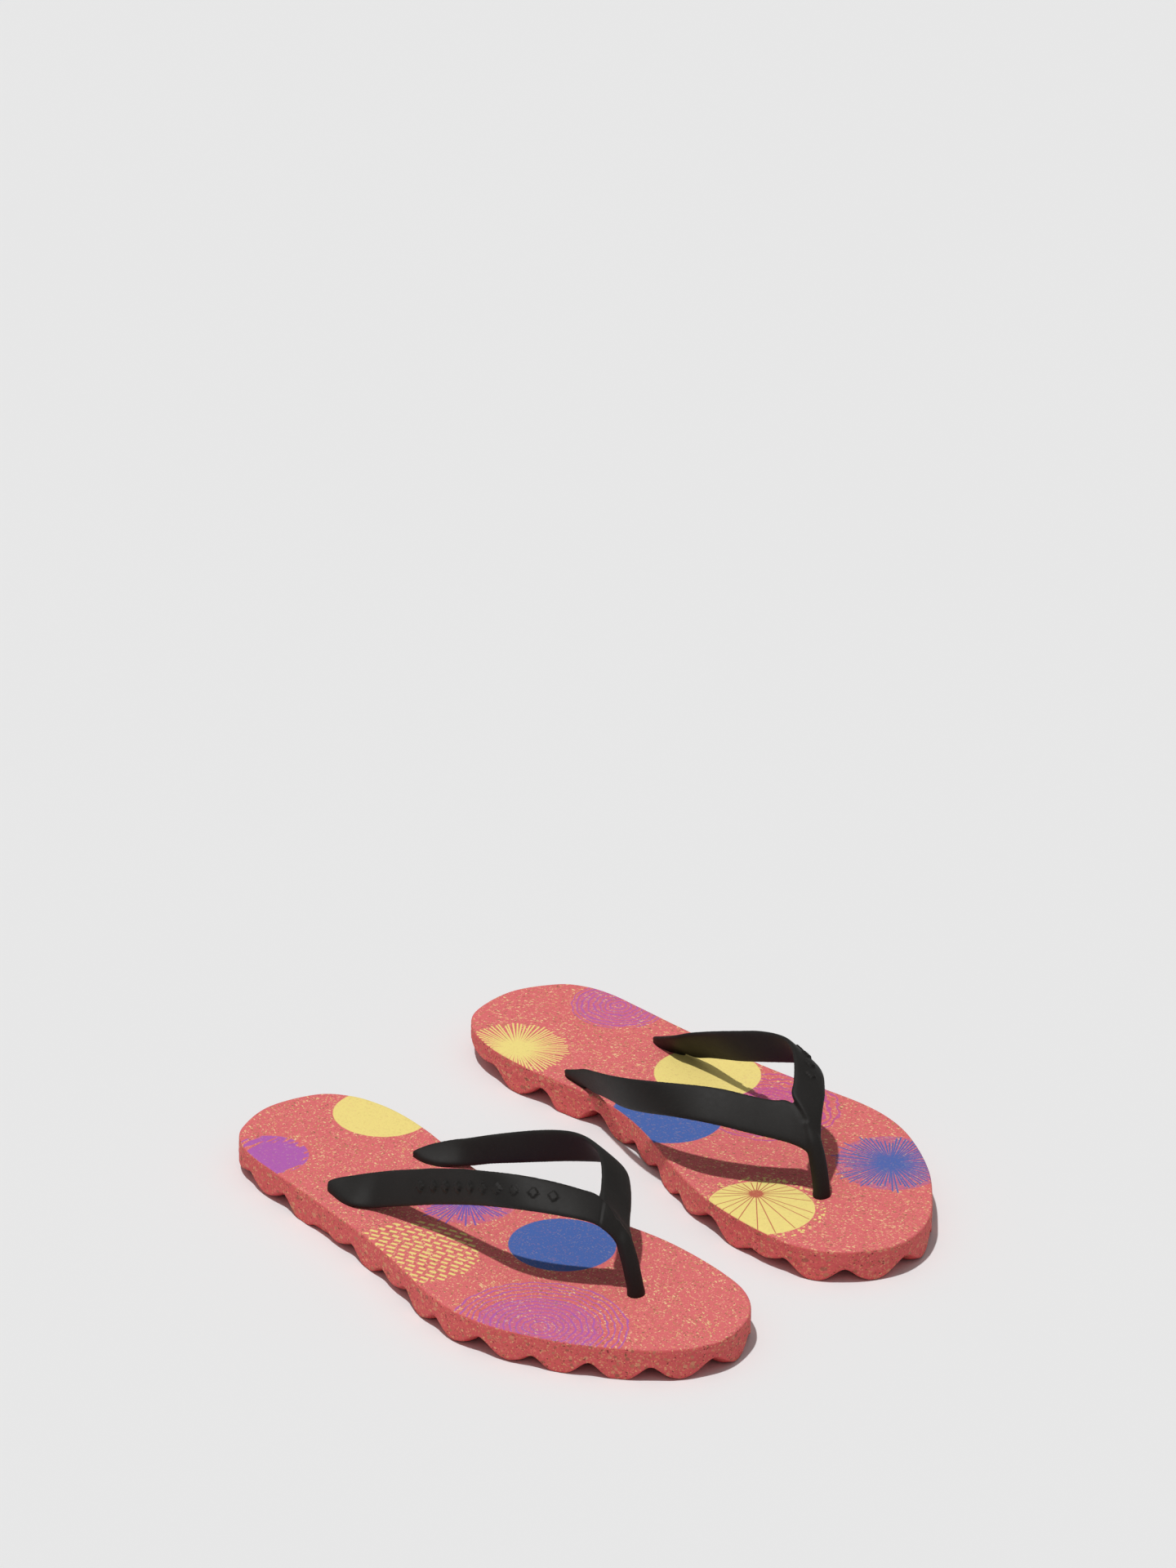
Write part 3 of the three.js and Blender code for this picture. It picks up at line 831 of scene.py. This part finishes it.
# ---- plug discs -------------------------------------------------------------
def plug_mesh(x, y, radius, stem):
    """Disc with a ring groove below and a stem above, turned about its own axis."""
    low = RECESS_DEPTH - 0.3 - DISC_T
    top = low + DISC_T
    # radius, height, from the middle of the underside to the rim and up
    profile = [
        (0.9, low + 0.4), (1.25, low + 0.05), (1.5, low), (radius - 2.5, low - 0.05),
        (radius - 2.25, low + 0.12), (radius - 2.1, low + 0.38), (radius - 1.75, low + 0.38),
        (radius - 1.6, low + 0.12), (radius - 1.35, low), (radius - 0.6, low + 0.04),
        (radius - 0.22, low + 0.2), (radius - 0.04, low + 0.55), (radius, low + 1.0),
        (radius, top - 0.5), (radius - 0.15, top - 0.12), (radius - 0.5, top), (4.3, top),
        (3.8, top + 0.12), (3.6, top + 0.5), (3.6, stem - 1.6), (3.6, stem - 0.8),
        (3.45, stem - 0.3), (3.0, stem - 0.05),
    ]
    count = DISC_SEGMENTS
    verts = [(x, y, low + 0.45)]
    for ring_radius, z in profile:
        for k in range(count):
            angle = 2 * math.pi * k / count
            cos, sin = math.cos(angle), math.sin(angle)
            reach = ring_radius + 0.03 * noise.noise(Vector((cos * 2 + x, sin * 2 + y, z)))
            verts.append((x + reach * cos, y + reach * sin, z))
    last = len(verts) - count
    verts.append((x, y, stem))
    faces = [(0, 1 + (k + 1) % count, 1 + k) for k in range(count)]
    for start in range(1, last, count):
        bridge(faces, start, start + count, count)
    faces += [(last + k, last + (k + 1) % count, last + count) for k in range(count)]
    return np.array(verts), faces


# ---- node graphs ------------------------------------------------------------
class Value:
    """A node's output; arithmetic on it adds Math nodes to its graph."""

    def __init__(self, graph, socket):
        self.graph, self.socket = graph, socket

    def __add__(self, other): return self.graph.math("ADD", self, other)
    def __sub__(self, other): return self.graph.math("SUBTRACT", self, other)
    def __rsub__(self, other): return self.graph.math("SUBTRACT", other, self)
    def __mul__(self, other): return self.graph.math("MULTIPLY", self, other)
    def __truediv__(self, other): return self.graph.math("DIVIDE", self, other)
    def __abs__(self): return self.graph.math("ABSOLUTE", self)

    def floor(self): return self.graph.math("FLOOR", self)
    def fract(self): return self.graph.math("FRACT", self)
    def max(self, other): return self.graph.math("MAXIMUM", self, other)

    def linear(self, factor, offset, clamp=False):
        return self.graph.math("MULTIPLY_ADD", self, factor, offset, clamp=clamp)

    def below(self, edge, soft):
        """1 where the value is below edge."""
        return self.graph.math("SUBTRACT", edge, self).linear(1 / soft, 0.5, clamp=True)

    def above(self, edge, soft):
        return (self * -1.0).below(-edge, soft)


class Graph:
    def __init__(self, tree):
        self.tree = tree

    def node(self, kind, inputs, output=0, **settings):
        made = self.tree.nodes.new(kind)
        for name, setting in settings.items():
            setattr(made, name, setting)
        for key, value in inputs.items():
            if isinstance(value, Value):
                self.tree.links.new(value.socket, made.inputs[key])
            else:
                made.inputs[key].default_value = value
        return Value(self, made.outputs[output])

    def split(self, value, kind="ShaderNodeSeparateXYZ"):
        made = self.node(kind, {0: value}).socket.node
        return [Value(self, socket) for socket in made.outputs]

    def math(self, operation, *args, clamp=False):
        return self.node("ShaderNodeMath", dict(enumerate(args)),
                         operation=operation, use_clamp=clamp)

    def vector(self, x, y, z):
        return self.node("ShaderNodeCombineXYZ", {0: x, 1: y, 2: z})

    def vector_math(self, operation, first, second):
        return self.node("ShaderNodeVectorMath", {0: first, 1: second}, operation=operation)

    def scale(self, vector, factors):
        return self.vector_math("MULTIPLY", vector, factors)

    def rotate(self, vector, axis, angle):
        return self.node("ShaderNodeVectorRotate", {"Vector": vector, "Axis": axis,
                         "Angle": angle}, rotation_type="AXIS_ANGLE")

    def noise(self, vector, scale, detail=2.0, rough=0.5, output="Fac"):
        return self.node("ShaderNodeTexNoise", {"Vector": vector, "Scale": scale,
                         "Detail": detail, "Roughness": rough}, output)

    def voronoi(self, vector):
        """Distance to the cell's point, and three random values per cell."""
        distance = self.node("ShaderNodeTexVoronoi", {"Vector": vector, "Scale": 1.0},
                             "Distance", feature="F1")
        color = Value(self, distance.socket.node.outputs["Color"])
        return [distance] + self.split(color, "ShaderNodeSeparateColor")

    def mix(self, factor, first, second):
        return self.node("ShaderNodeMix", {0: factor, 6: first, 7: second}, 2,
                         data_type="RGBA")

    def steps(self, factor, stops):
        """Colour bands: each stop's colour holds up to the next stop."""
        color = self.node("ShaderNodeValToRGB", {0: factor})
        ramp = color.socket.node.color_ramp
        ramp.interpolation = "CONSTANT"
        for k, (position, tone) in enumerate(stops):
            if k < 2:
                ramp.elements[k].position = position
                ramp.elements[k].color = tone
            else:
                ramp.elements.new(position).color = tone
        return color

    def bump(self, height, distance, strength, normal=None):
        inputs = {"Strength": strength, "Distance": distance, "Height": height}
        if normal is not None:
            inputs["Normal"] = normal
        return self.node("ShaderNodeBump", inputs)

    def local(self):
        """Own-frame millimetres."""
        return self.node("ShaderNodeAttribute", {}, "Vector",
                         attribute_type="GEOMETRY", attribute_name="lp")

    def surface(self, color, rough, specular, normal=None):
        inputs = {"Base Color": color, "Roughness": rough, "Specular IOR Level": specular}
        if normal is not None:
            inputs["Normal"] = normal
        shader = self.node("ShaderNodeBsdfPrincipled", inputs)
        output = self.tree.nodes.new("ShaderNodeOutputMaterial")
        self.tree.links.new(shader.socket, output.inputs[0])


def new_material(name):
    material = bpy.data.materials.new(name)
    material.use_nodes = True
    material.node_tree.nodes.clear()
    return material, Graph(material.node_tree)


def srgb(*channels):
    return tuple((c / 255) / 12.92 if c <= 10 else ((c / 255 + 0.055) / 1.055) ** 2.4
                 for c in channels) + (1.0,)


# ---- printed figures --------------------------------------------------------
YELLOW = srgb(250, 230, 138)
BLUE = srgb(62, 106, 180)
VIOLET = srgb(96, 94, 190)
PURPLE = srgb(180, 96, 186)
MAGENTA = srgb(196, 84, 160)
PINK = srgb(196, 92, 78)
TURN = 2 * math.pi


class Figures:
    """Masks of figures about a centre on the footbed, in millimetres."""

    def __init__(self, graph, place, x, y):
        self.graph, self.x, self.y = graph, x, y
        self.wave = graph.noise(graph.scale(place, (0.16,) * 3), scale=1.0, detail=1.0)
        self.ripple = graph.noise(graph.scale(place, (0.6,) * 3), scale=1.0, detail=1.0)
        self.rag = graph.noise(place, scale=2.2, detail=1.0)
        self.haze = self.rag.below(0.56, soft=0.12)

    def offsets(self, cx, cy):
        return self.x - cx, self.y - cy

    def polar(self, cx, cy):
        dx, dy = self.offsets(cx, cy)
        return self.length(dx, dy), self.graph.math("ARCTAN2", dy, dx)

    def length(self, dx, dy):
        return self.graph.math("SQRT", dx * dx + dy * dy)

    def random(self, value, salt):
        return self.graph.node("ShaderNodeTexWhiteNoise", {"W": value + salt}, "Value",
                               noise_dimensions="1D")

    def disc(self, cx, cy, radius):
        rho = self.length(*self.offsets(cx, cy))
        return (rho + (self.rag - 0.5) * 0.5).below(radius, soft=0.35)

    def rays(self, cx, cy, radius, count, width, shortest, core, bend, ragged, uneven):
        """Thin rays; shortest is a share of the radius, core a disc in the middle."""
        rho, phi = self.polar(cx, cy)
        turn = phi * (count / TURN) + (self.ripple - 0.5) * bend + count * 2.0
        ray = turn.floor()
        off = abs(turn - ray - 0.5 - (self.random(ray, 2.9) - 0.5) * uneven)
        off = off * rho * (TURN / count)
        reach = self.random(ray, 7.3 + cx).linear(radius * (1 - shortest), radius * shortest)
        line = ((off + (self.rag - 0.5) * ragged).below(width / 2, soft=0.2)
                * rho.below(reach, soft=0.5))
        return line.max((rho + (self.rag - 0.5) * 1.5).below(core, soft=0.8))

    def rings(self, cx, cy, radius, pitch, width, sway, inner=0.0):
        """Wavering, broken rings, outside the inner radius."""
        rho, phi = self.polar(cx, cy)
        turn = (rho + (self.wave - 0.5) * sway) / pitch
        off = abs(turn.fract() - 0.5) * pitch
        breaks = self.graph.noise(self.graph.vector(phi * 3.0, rho * 0.4, 0.0),
                                  scale=2.0, detail=1.0)
        mask = ((off + (self.rag - 0.5) * 0.3).below(width / 2, soft=0.25)
                * rho.below(radius, soft=0.5) * breaks.below(0.70, soft=0.08))
        return mask * rho.above(inner, soft=0.5) if inner else mask

    def dashes(self, cx, cy, radius, heading, pitch, length, row_pitch, width):
        """Slightly curved rows of dashes."""
        dx, dy = self.offsets(cx, cy)
        rho = self.length(dx, dy)
        cos, sin = math.cos(heading), math.sin(heading)
        along = dx * cos + dy * sin
        across = dy * cos - dx * sin
        across = across + along * along * 0.002 + (self.wave - 0.5) * 0.5
        row = (across / row_pitch).floor()
        shift = self.random(row, 3.1) * pitch
        dash = ((along + shift) / pitch).floor()
        off_along = abs(((along + shift) / pitch).fract() - 0.5) * pitch
        off_across = abs((across / row_pitch).fract() - 0.5) * row_pitch
        reach = self.random(dash + row * 17.0, 1.7).linear(0.7, length / 2 - 0.35)
        mask = (off_along.below(reach, soft=0.3)
                * (off_across + (self.rag - 0.5) * 0.3).below(width / 2, soft=0.3))
        return mask * (rho + (self.wave - 0.5) * 6.0).below(radius, soft=0.6)

    def dots(self, cx, cy, inner, outer, cell, size, share):
        """A ring of scattered dots."""
        dx, dy = self.offsets(cx, cy)
        rho = self.length(dx, dy)
        away, chance, _, _ = self.graph.voronoi(self.graph.vector(dx / cell, dy / cell, 3.0))
        return (away.below(size, soft=0.08) * chance.below(share, soft=0.02)
                * rho.below(outer, soft=0.5) * rho.above(inner, soft=0.5))

    def brushed(self, cx, cy):
        dx, dy = self.offsets(cx, cy)
        streaks = self.graph.noise(self.graph.vector(dx * 0.5, dy * 0.09, 1.0), scale=1.0)
        return streaks.below(0.56, soft=0.06)


# Each yields mask, ink and strength, from the lowest print up.
def right_prints(draw):
    yield draw.disc(-90.9, 32.2, 19.0), YELLOW, 0.97
    patch = draw.brushed(-94.6, -22.4).max(draw.disc(-93.5, -20.5, 10.0))
    yield draw.disc(-96.0, -22.9, 15.2) * patch, PURPLE, 0.9
    yield draw.disc(-19.5, 9.4, 20.0) * draw.haze, PURPLE, 0.34
    yield draw.rays(-19.5, 9.4, radius=22.5, count=68, width=0.62, shortest=0.60, core=1.8,
                    bend=0.06, ragged=0.10, uneven=0.5), VIOLET, 0.9
    yield draw.dashes(-1.9, -34.4, radius=24.0, heading=0.30, pitch=4.7, length=3.2,
                      row_pitch=2.9, width=1.3), YELLOW, 0.97
    yield draw.disc(31.5, 10.9, 20.7), BLUE, 0.97
    yield draw.disc(72.0, -42.0, 24.0) * draw.haze, PURPLE, 0.45
    yield draw.rings(71.0, -40.0, radius=35.0, pitch=2.5, width=0.68, sway=3.2,
                     inner=3.0), PURPLE, 0.8


def left_prints(draw):
    yield draw.rays(-85.2, 30.0, radius=21.2, count=72, width=0.66, shortest=0.88, core=4.0,
                    bend=0.04, ragged=0.08, uneven=0.4), YELLOW, 0.97
    yield draw.disc(-90.6, -24.2, 17.5) * draw.haze, PURPLE, 0.34
    yield draw.rings(-90.6, -24.2, radius=19.0, pitch=2.2, width=0.7, sway=4.0), PURPLE, 0.7
    yield draw.rings(10.1, -22.0, radius=28.0, pitch=2.8, width=0.9, sway=6.0), MAGENTA, 0.8
    yield draw.disc(10.1, -22.0, 17.0) * draw.haze, MAGENTA, 0.6
    yield draw.disc(-25.6, -18.7, 21.0), YELLOW, 0.97
    yield draw.disc(-7.1, 15.5, 22.0), BLUE, 0.97
    # the spokes meet behind the middle of their disc
    yield draw.disc(72.2, 30.6, 20.9), YELLOW, 0.98
    spokes = draw.rays(62.3, 25.3, radius=44.0, count=24, width=0.42, shortest=1.0, core=3.0,
                       bend=0.02, ragged=0.04, uneven=0.5)
    yield spokes * draw.disc(72.2, 30.6, 20.4), PINK, 0.95
    yield draw.dots(72.2, 30.6, inner=21.5, outer=25.0, cell=1.7, size=0.38,
                    share=0.85), YELLOW, 0.95
    yield draw.disc(72.6, -32.7, 21.5) * draw.haze, VIOLET, 0.40
    yield draw.rays(72.6, -32.7, radius=24.0, count=76, width=0.62, shortest=0.66, core=4.5,
                    bend=0.06, ragged=0.10, uneven=0.5), BLUE, 0.92


# ---- materials --------------------------------------------------------------
# crumb layers, topmost first: axis and angle of turn, size, share of cells, fatness, opacity
CHIP_LAYERS = [
    ((0.1, 0.0, 1.0), 0.35, (2.1, 0.85, 0.95), 0.46, 0.37, 0.9),
    ((0.0, 0.2, 1.0), 1.55, (1.8, 0.75, 0.85), 0.44, 0.36, 0.9),
    ((0.3, 0.1, 1.0), 2.55, (1.0, 0.6, 0.65), 0.52, 0.35, 0.85),
]
# colour bands: start, colour
CHIP_TONES = [(0.0, srgb(250, 208, 154)), (0.28, srgb(236, 172, 124)),
              (0.48, srgb(246, 152, 138)), (0.70, srgb(196, 134, 96)),
              (0.88, srgb(158, 112, 82))]
DARK_TONES = [(0.0, srgb(190, 82, 82)), (0.5, srgb(172, 88, 78)), (0.8, srgb(156, 100, 80))]
SIDE_TONES = [(0.0, srgb(232, 176, 132)), (0.34, srgb(196, 140, 104)),
              (0.66, srgb(150, 106, 80)), (0.86, srgb(240, 120, 118))]


def crumbs(graph, place, axis, angle, size, share, fat):
    """Mask of drawn-out crumbs, and a random tone for each."""
    turned = graph.rotate(place, axis, angle)
    away, chance, girth, tone = graph.voronoi(graph.scale(turned, tuple(1 / s for s in size)))
    live = chance.below(share, soft=0.02)
    return live * away.below(girth.linear(fat * 0.6, fat * 0.6), soft=0.10), tone


def cork_chips(graph, place, warped, grain):
    """Pink ground full of crumbs: its colour and the mask of the light crumbs."""
    cloud = graph.noise(place, scale=0.09, detail=3.0)
    color = graph.mix(grain, srgb(212, 96, 99), srgb(242, 130, 129))
    color = graph.mix(cloud * 0.45, color, srgb(226, 106, 112))
    dark, tone = crumbs(graph, warped, axis=(0.2, 0.3, 1.0), angle=0.9,
                        size=(1.5, 0.95, 0.95), share=0.30, fat=0.33)
    color = graph.mix(dark * 0.55, color, graph.steps(tone, DARK_TONES))
    layers = [(*crumbs(graph, warped, *layer), opacity) for *layer, opacity in CHIP_LAYERS]
    for mask, tone, opacity in reversed(layers):
        color = graph.mix(mask * opacity, color, graph.steps(tone, CHIP_TONES))
    return color, layers[0][0].max(layers[1][0]).max(layers[2][0])


def cork_side(graph, warped, color, side):
    """The side is open-pored and a shade deeper; also returns the pore mask."""
    away, girth, chance, _ = graph.voronoi(graph.scale(warped, (0.72, 0.72, 0.95)))
    pore = away.below(girth.linear(0.30, 0.02), soft=0.12) * chance.below(0.46, soft=0.02)
    color = graph.mix(side * 0.30, color, srgb(246, 76, 70))
    big, tone = crumbs(graph, warped, axis=(0.5, 0.2, 1.0), angle=0.6, size=(3.3, 2.0, 1.9),
                       share=0.46, fat=0.40)
    color = graph.mix(big * side * 0.62, color, graph.steps(tone, SIDE_TONES))
    # the pores are painted a dark maroon: painted shade inside the open pores
    return graph.mix(pore * side * 0.7, color, srgb(96, 30, 32)), pore


def cork_material(name, seed, prints):
    material, graph = new_material(name)
    local = graph.local()
    x, y, z = graph.split(local)
    place = graph.vector_math("ADD", local, (seed, 0.0, 0.0))
    warp = graph.noise(place, scale=1.3, detail=1.0, output="Color")
    warp = graph.scale(graph.vector_math("SUBTRACT", warp, (0.5,) * 3), (0.9,) * 3)
    warped = graph.vector_math("ADD", place, warp)
    grain = graph.noise(place, scale=1.6, detail=3.0, rough=0.65)
    on_top = z.above(THICKNESS - 0.4, soft=0.2)
    side = 1.0 - on_top

    color, chips = cork_chips(graph, place, warped, grain)
    color, pore = cork_side(graph, warped, color, side)
    # faces that look down get a deeper red: painted shade, the deep maroon of the shade under the sole
    normal = graph.node("ShaderNodeNewGeometry", {}, "Normal")
    under = graph.split(normal)[2].below(-0.2, soft=0.5)
    color = graph.mix(under * 0.50, color, srgb(196, 36, 56))

    # ink only on the footbed, thinner over the crumbs
    figures = Figures(graph, place, x, y)
    show = (chips * figures.rag).linear(-0.24, 1.0, clamp=True)
    inked = None
    for mask, ink, strength in prints(figures):
        mask = mask * on_top
        color = graph.mix(mask * show * strength, color, ink)
        inked = mask * strength if inked is None else inked.max(mask * strength)

    height = grain * 0.5 + chips * 0.35 - pore * side * 1.3
    coarse = graph.bump(height, distance=0.00028, strength=0.55)
    fine = graph.noise(place, scale=5.5, rough=0.6) * side.linear(0.6, 0.4)
    graph.surface(color, rough=grain.linear(0.18, 0.72) - inked * 0.06, specular=0.28,
                  normal=graph.bump(fine, distance=0.00016, strength=0.6, normal=coarse))
    return material


def strap_material(name, seed):
    """Black rubber with cloudy tone and dusty scuffs."""
    material, graph = new_material(name)
    place = graph.vector_math("ADD", graph.local(), (seed, 0.0, 0.0))
    cloud = graph.noise(place, scale=0.07, detail=3.0, rough=0.55)
    mottle = graph.noise(place, scale=0.5, detail=3.0, rough=0.6)
    fine = graph.noise(place, scale=6.0, rough=0.6)
    streaks = graph.scale(graph.rotate(place, axis=(0.2, 0.6, 0.4), angle=0.7),
                          (0.25, 2.2, 2.2))
    scuff = graph.noise(streaks, scale=1.0, detail=3.0, rough=0.6)
    dusty = graph.math("SUBTRACT", scuff, 0.56, clamp=True)
    dusty = graph.math("MULTIPLY", dusty, 3.0, clamp=True)
    color = graph.mix(cloud, srgb(21, 18, 17), srgb(32, 30, 28))
    color = graph.mix(mottle * 0.35, color, srgb(40, 38, 35))
    color = graph.mix(dusty * 0.30, color, srgb(76, 72, 67))
    coarse = graph.bump(mottle, distance=0.00010, strength=0.35)
    graph.surface(color, rough=mottle.linear(0.14, 0.56) + dusty * 0.1, specular=0.30,
                  normal=graph.bump(fine, distance=0.00006, strength=0.5, normal=coarse))
    return material


def floor_material():
    material, graph = new_material("studio_floor")
    place = graph.node("ShaderNodeTexCoord", {}, "Object")
    color = graph.mix(graph.noise(place, scale=3.0),
                      (0.850, 0.850, 0.850, 1), (0.856, 0.856, 0.856, 1))
    graph.surface(color, rough=0.95, specular=0.0)
    return material


# ---- sandals ----------------------------------------------------------------
def bend_span(side, rear, front):
    """Start and end of a blend between two places along the sandal."""
    start, end = to_row([[rear, 0, THICKNESS], [front, 0, THICKNESS]], side)
    return {"start": tuple(start), "end": tuple(end)}


def build_sandal(side, seed, cork, rubber):
    sole = make_object(f"{side}_sole_shell", *sole_mesh(seed), side, cork, 38)
    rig.blend(sole, f"{side}_heel", f"{side}_forefoot", **bend_span(side, 40.0, 64.0))
    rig.replaces(sole, f"{side}_sole_heel", f"{side}_sole_forefoot")
    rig.slot(sole, "cork_sole")

    strap = make_object(f"{side}_strap_moulding", *strap_mesh(side), side, rubber)
    # the arms bend just ahead of the rear ends, which stay in the heel
    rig.blend(strap, f"{side}_heel", f"{side}_strap", **bend_span(side, -50.0, -28.0))
    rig.replaces(strap, f"{side}_strap")
    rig.slot(strap, "strap_rubber")

    for name, plug in PLUGS.items():
        body, stem = PLUG_FIT[name]
        disc = make_object(f"{side}_{name}_disc", *plug_mesh(*plug, stem), side, rubber, 45)
        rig.ride(disc, f"{side}_{body}")
        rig.replaces(disc, f"{side}_{name}_plug")
        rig.slot(disc, "strap_rubber")


right_rubber = strap_material("strap_rubber_right", seed=0.0)
left_rubber = strap_material("strap_rubber_left", seed=311.0)
right_cork = cork_material("cork_rubber_right", seed=0.0, prints=right_prints)
left_cork = cork_material("cork_rubber_left", seed=523.0, prints=left_prints)
build_sandal("right", 0.0, right_cork, right_rubber)
build_sandal("left", 400.0, left_cork, left_rubber)

# ---- floor, light, camera; metres -------------------------------------------
FLOOR_HALF = 9.0
FLOOR_Z = -0.0002
VIEW_RIGHT = Vector((0.6615, 0.7500, 0))  # level, to the camera's right
VIEW_AWAY = Vector((-0.7500, 0.6615, 0))  # level, away from the camera
CAMERA_PLACE = Vector((3.423, -3.029, 2.520))
CAMERA_FORWARD = Vector((-0.6675, 0.5888, -0.4557))
CAMERA_ROLL = 0.024847  # radians
FOCAL_LENGTH, SENSOR_WIDTH = 309.500625, 36  # mm


def build_floor():
    mesh = bpy.data.meshes.new("studio_floor")
    corners = [(x * FLOOR_HALF, y * FLOOR_HALF, 0)
               for x, y in ((-1, -1), (1, -1), (1, 1), (-1, 1))]
    mesh.from_pydata(corners, [], [(0, 1, 2, 3)])
    floor = bpy.data.objects.new("studio_floor", mesh)
    floor.location = (0, 0, FLOOR_Z)
    bpy.context.scene.collection.objects.link(floor)
    mesh.materials.append(floor_material())
    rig.stage(floor)


def build_world():
    """Soft light mostly from overhead; the camera itself sees an even backdrop."""
    world = bpy.data.worlds.new("studio")
    world.use_nodes = True
    graph = Graph(world.node_tree)
    background = world.node_tree.nodes["Background"]
    background.inputs["Color"].default_value = (1.0, 1.0, 1.0, 1)
    direction = graph.node("ShaderNodeTexCoord", {}, "Generated")
    glow = graph.split(direction)[2].max(0.0).linear(factor=0.27, offset=0.10)
    camera_ray = graph.node("ShaderNodeLightPath", {}, "Is Camera Ray")
    backdrop = 0.80
    strength = graph.node("ShaderNodeMix", {0: camera_ray, 2: glow, 3: backdrop})
    world.node_tree.links.new(strength.socket, background.inputs["Strength"])
    bpy.context.scene.world = world


def build_key_light():
    sun = bpy.data.lights.new("key", "SUN")
    sun.energy = 2.13
    sun.angle = math.radians(1.8)
    key = bpy.data.objects.new("key", sun)
    # down, leaning to the camera's right and away from it
    travel = Vector((0, 0, -1)) + VIEW_RIGHT * 0.20 + VIEW_AWAY * 0.12
    key.rotation_mode = "QUATERNION"
    key.rotation_quaternion = travel.to_track_quat("-Z", "Y")
    bpy.context.scene.collection.objects.link(key)


def build_camera():
    lens = bpy.data.cameras.new("camera")
    camera = bpy.data.objects.new("camera", lens)
    forward = CAMERA_FORWARD.normalized()
    right = VIEW_RIGHT.normalized()
    up = right.cross(forward)
    cos, sin = math.cos(CAMERA_ROLL), math.sin(CAMERA_ROLL)
    right, up = right * cos + up * sin, up * cos - right * sin
    pose = Matrix((right, up, -forward)).transposed().to_4x4()
    pose.translation = CAMERA_PLACE
    camera.matrix_world = pose
    lens.lens = FOCAL_LENGTH
    lens.sensor_width = SENSOR_WIDTH
    lens.clip_start, lens.clip_end = 0.05, 60
    bpy.context.scene.collection.objects.link(camera)
    bpy.context.scene.camera = camera


build_floor()
build_world()
build_key_light()
build_camera()
view = bpy.context.scene.view_settings
view.view_transform = "Standard"
view.look = "None"
view.exposure = 0.0

now_low, now_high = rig.bounds()
with open("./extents.json", "w") as f:
    json.dump({"cad": [list(cad_low), list(cad_high)],
               "visual": [list(now_low), list(now_high)]}, f, indent=1)
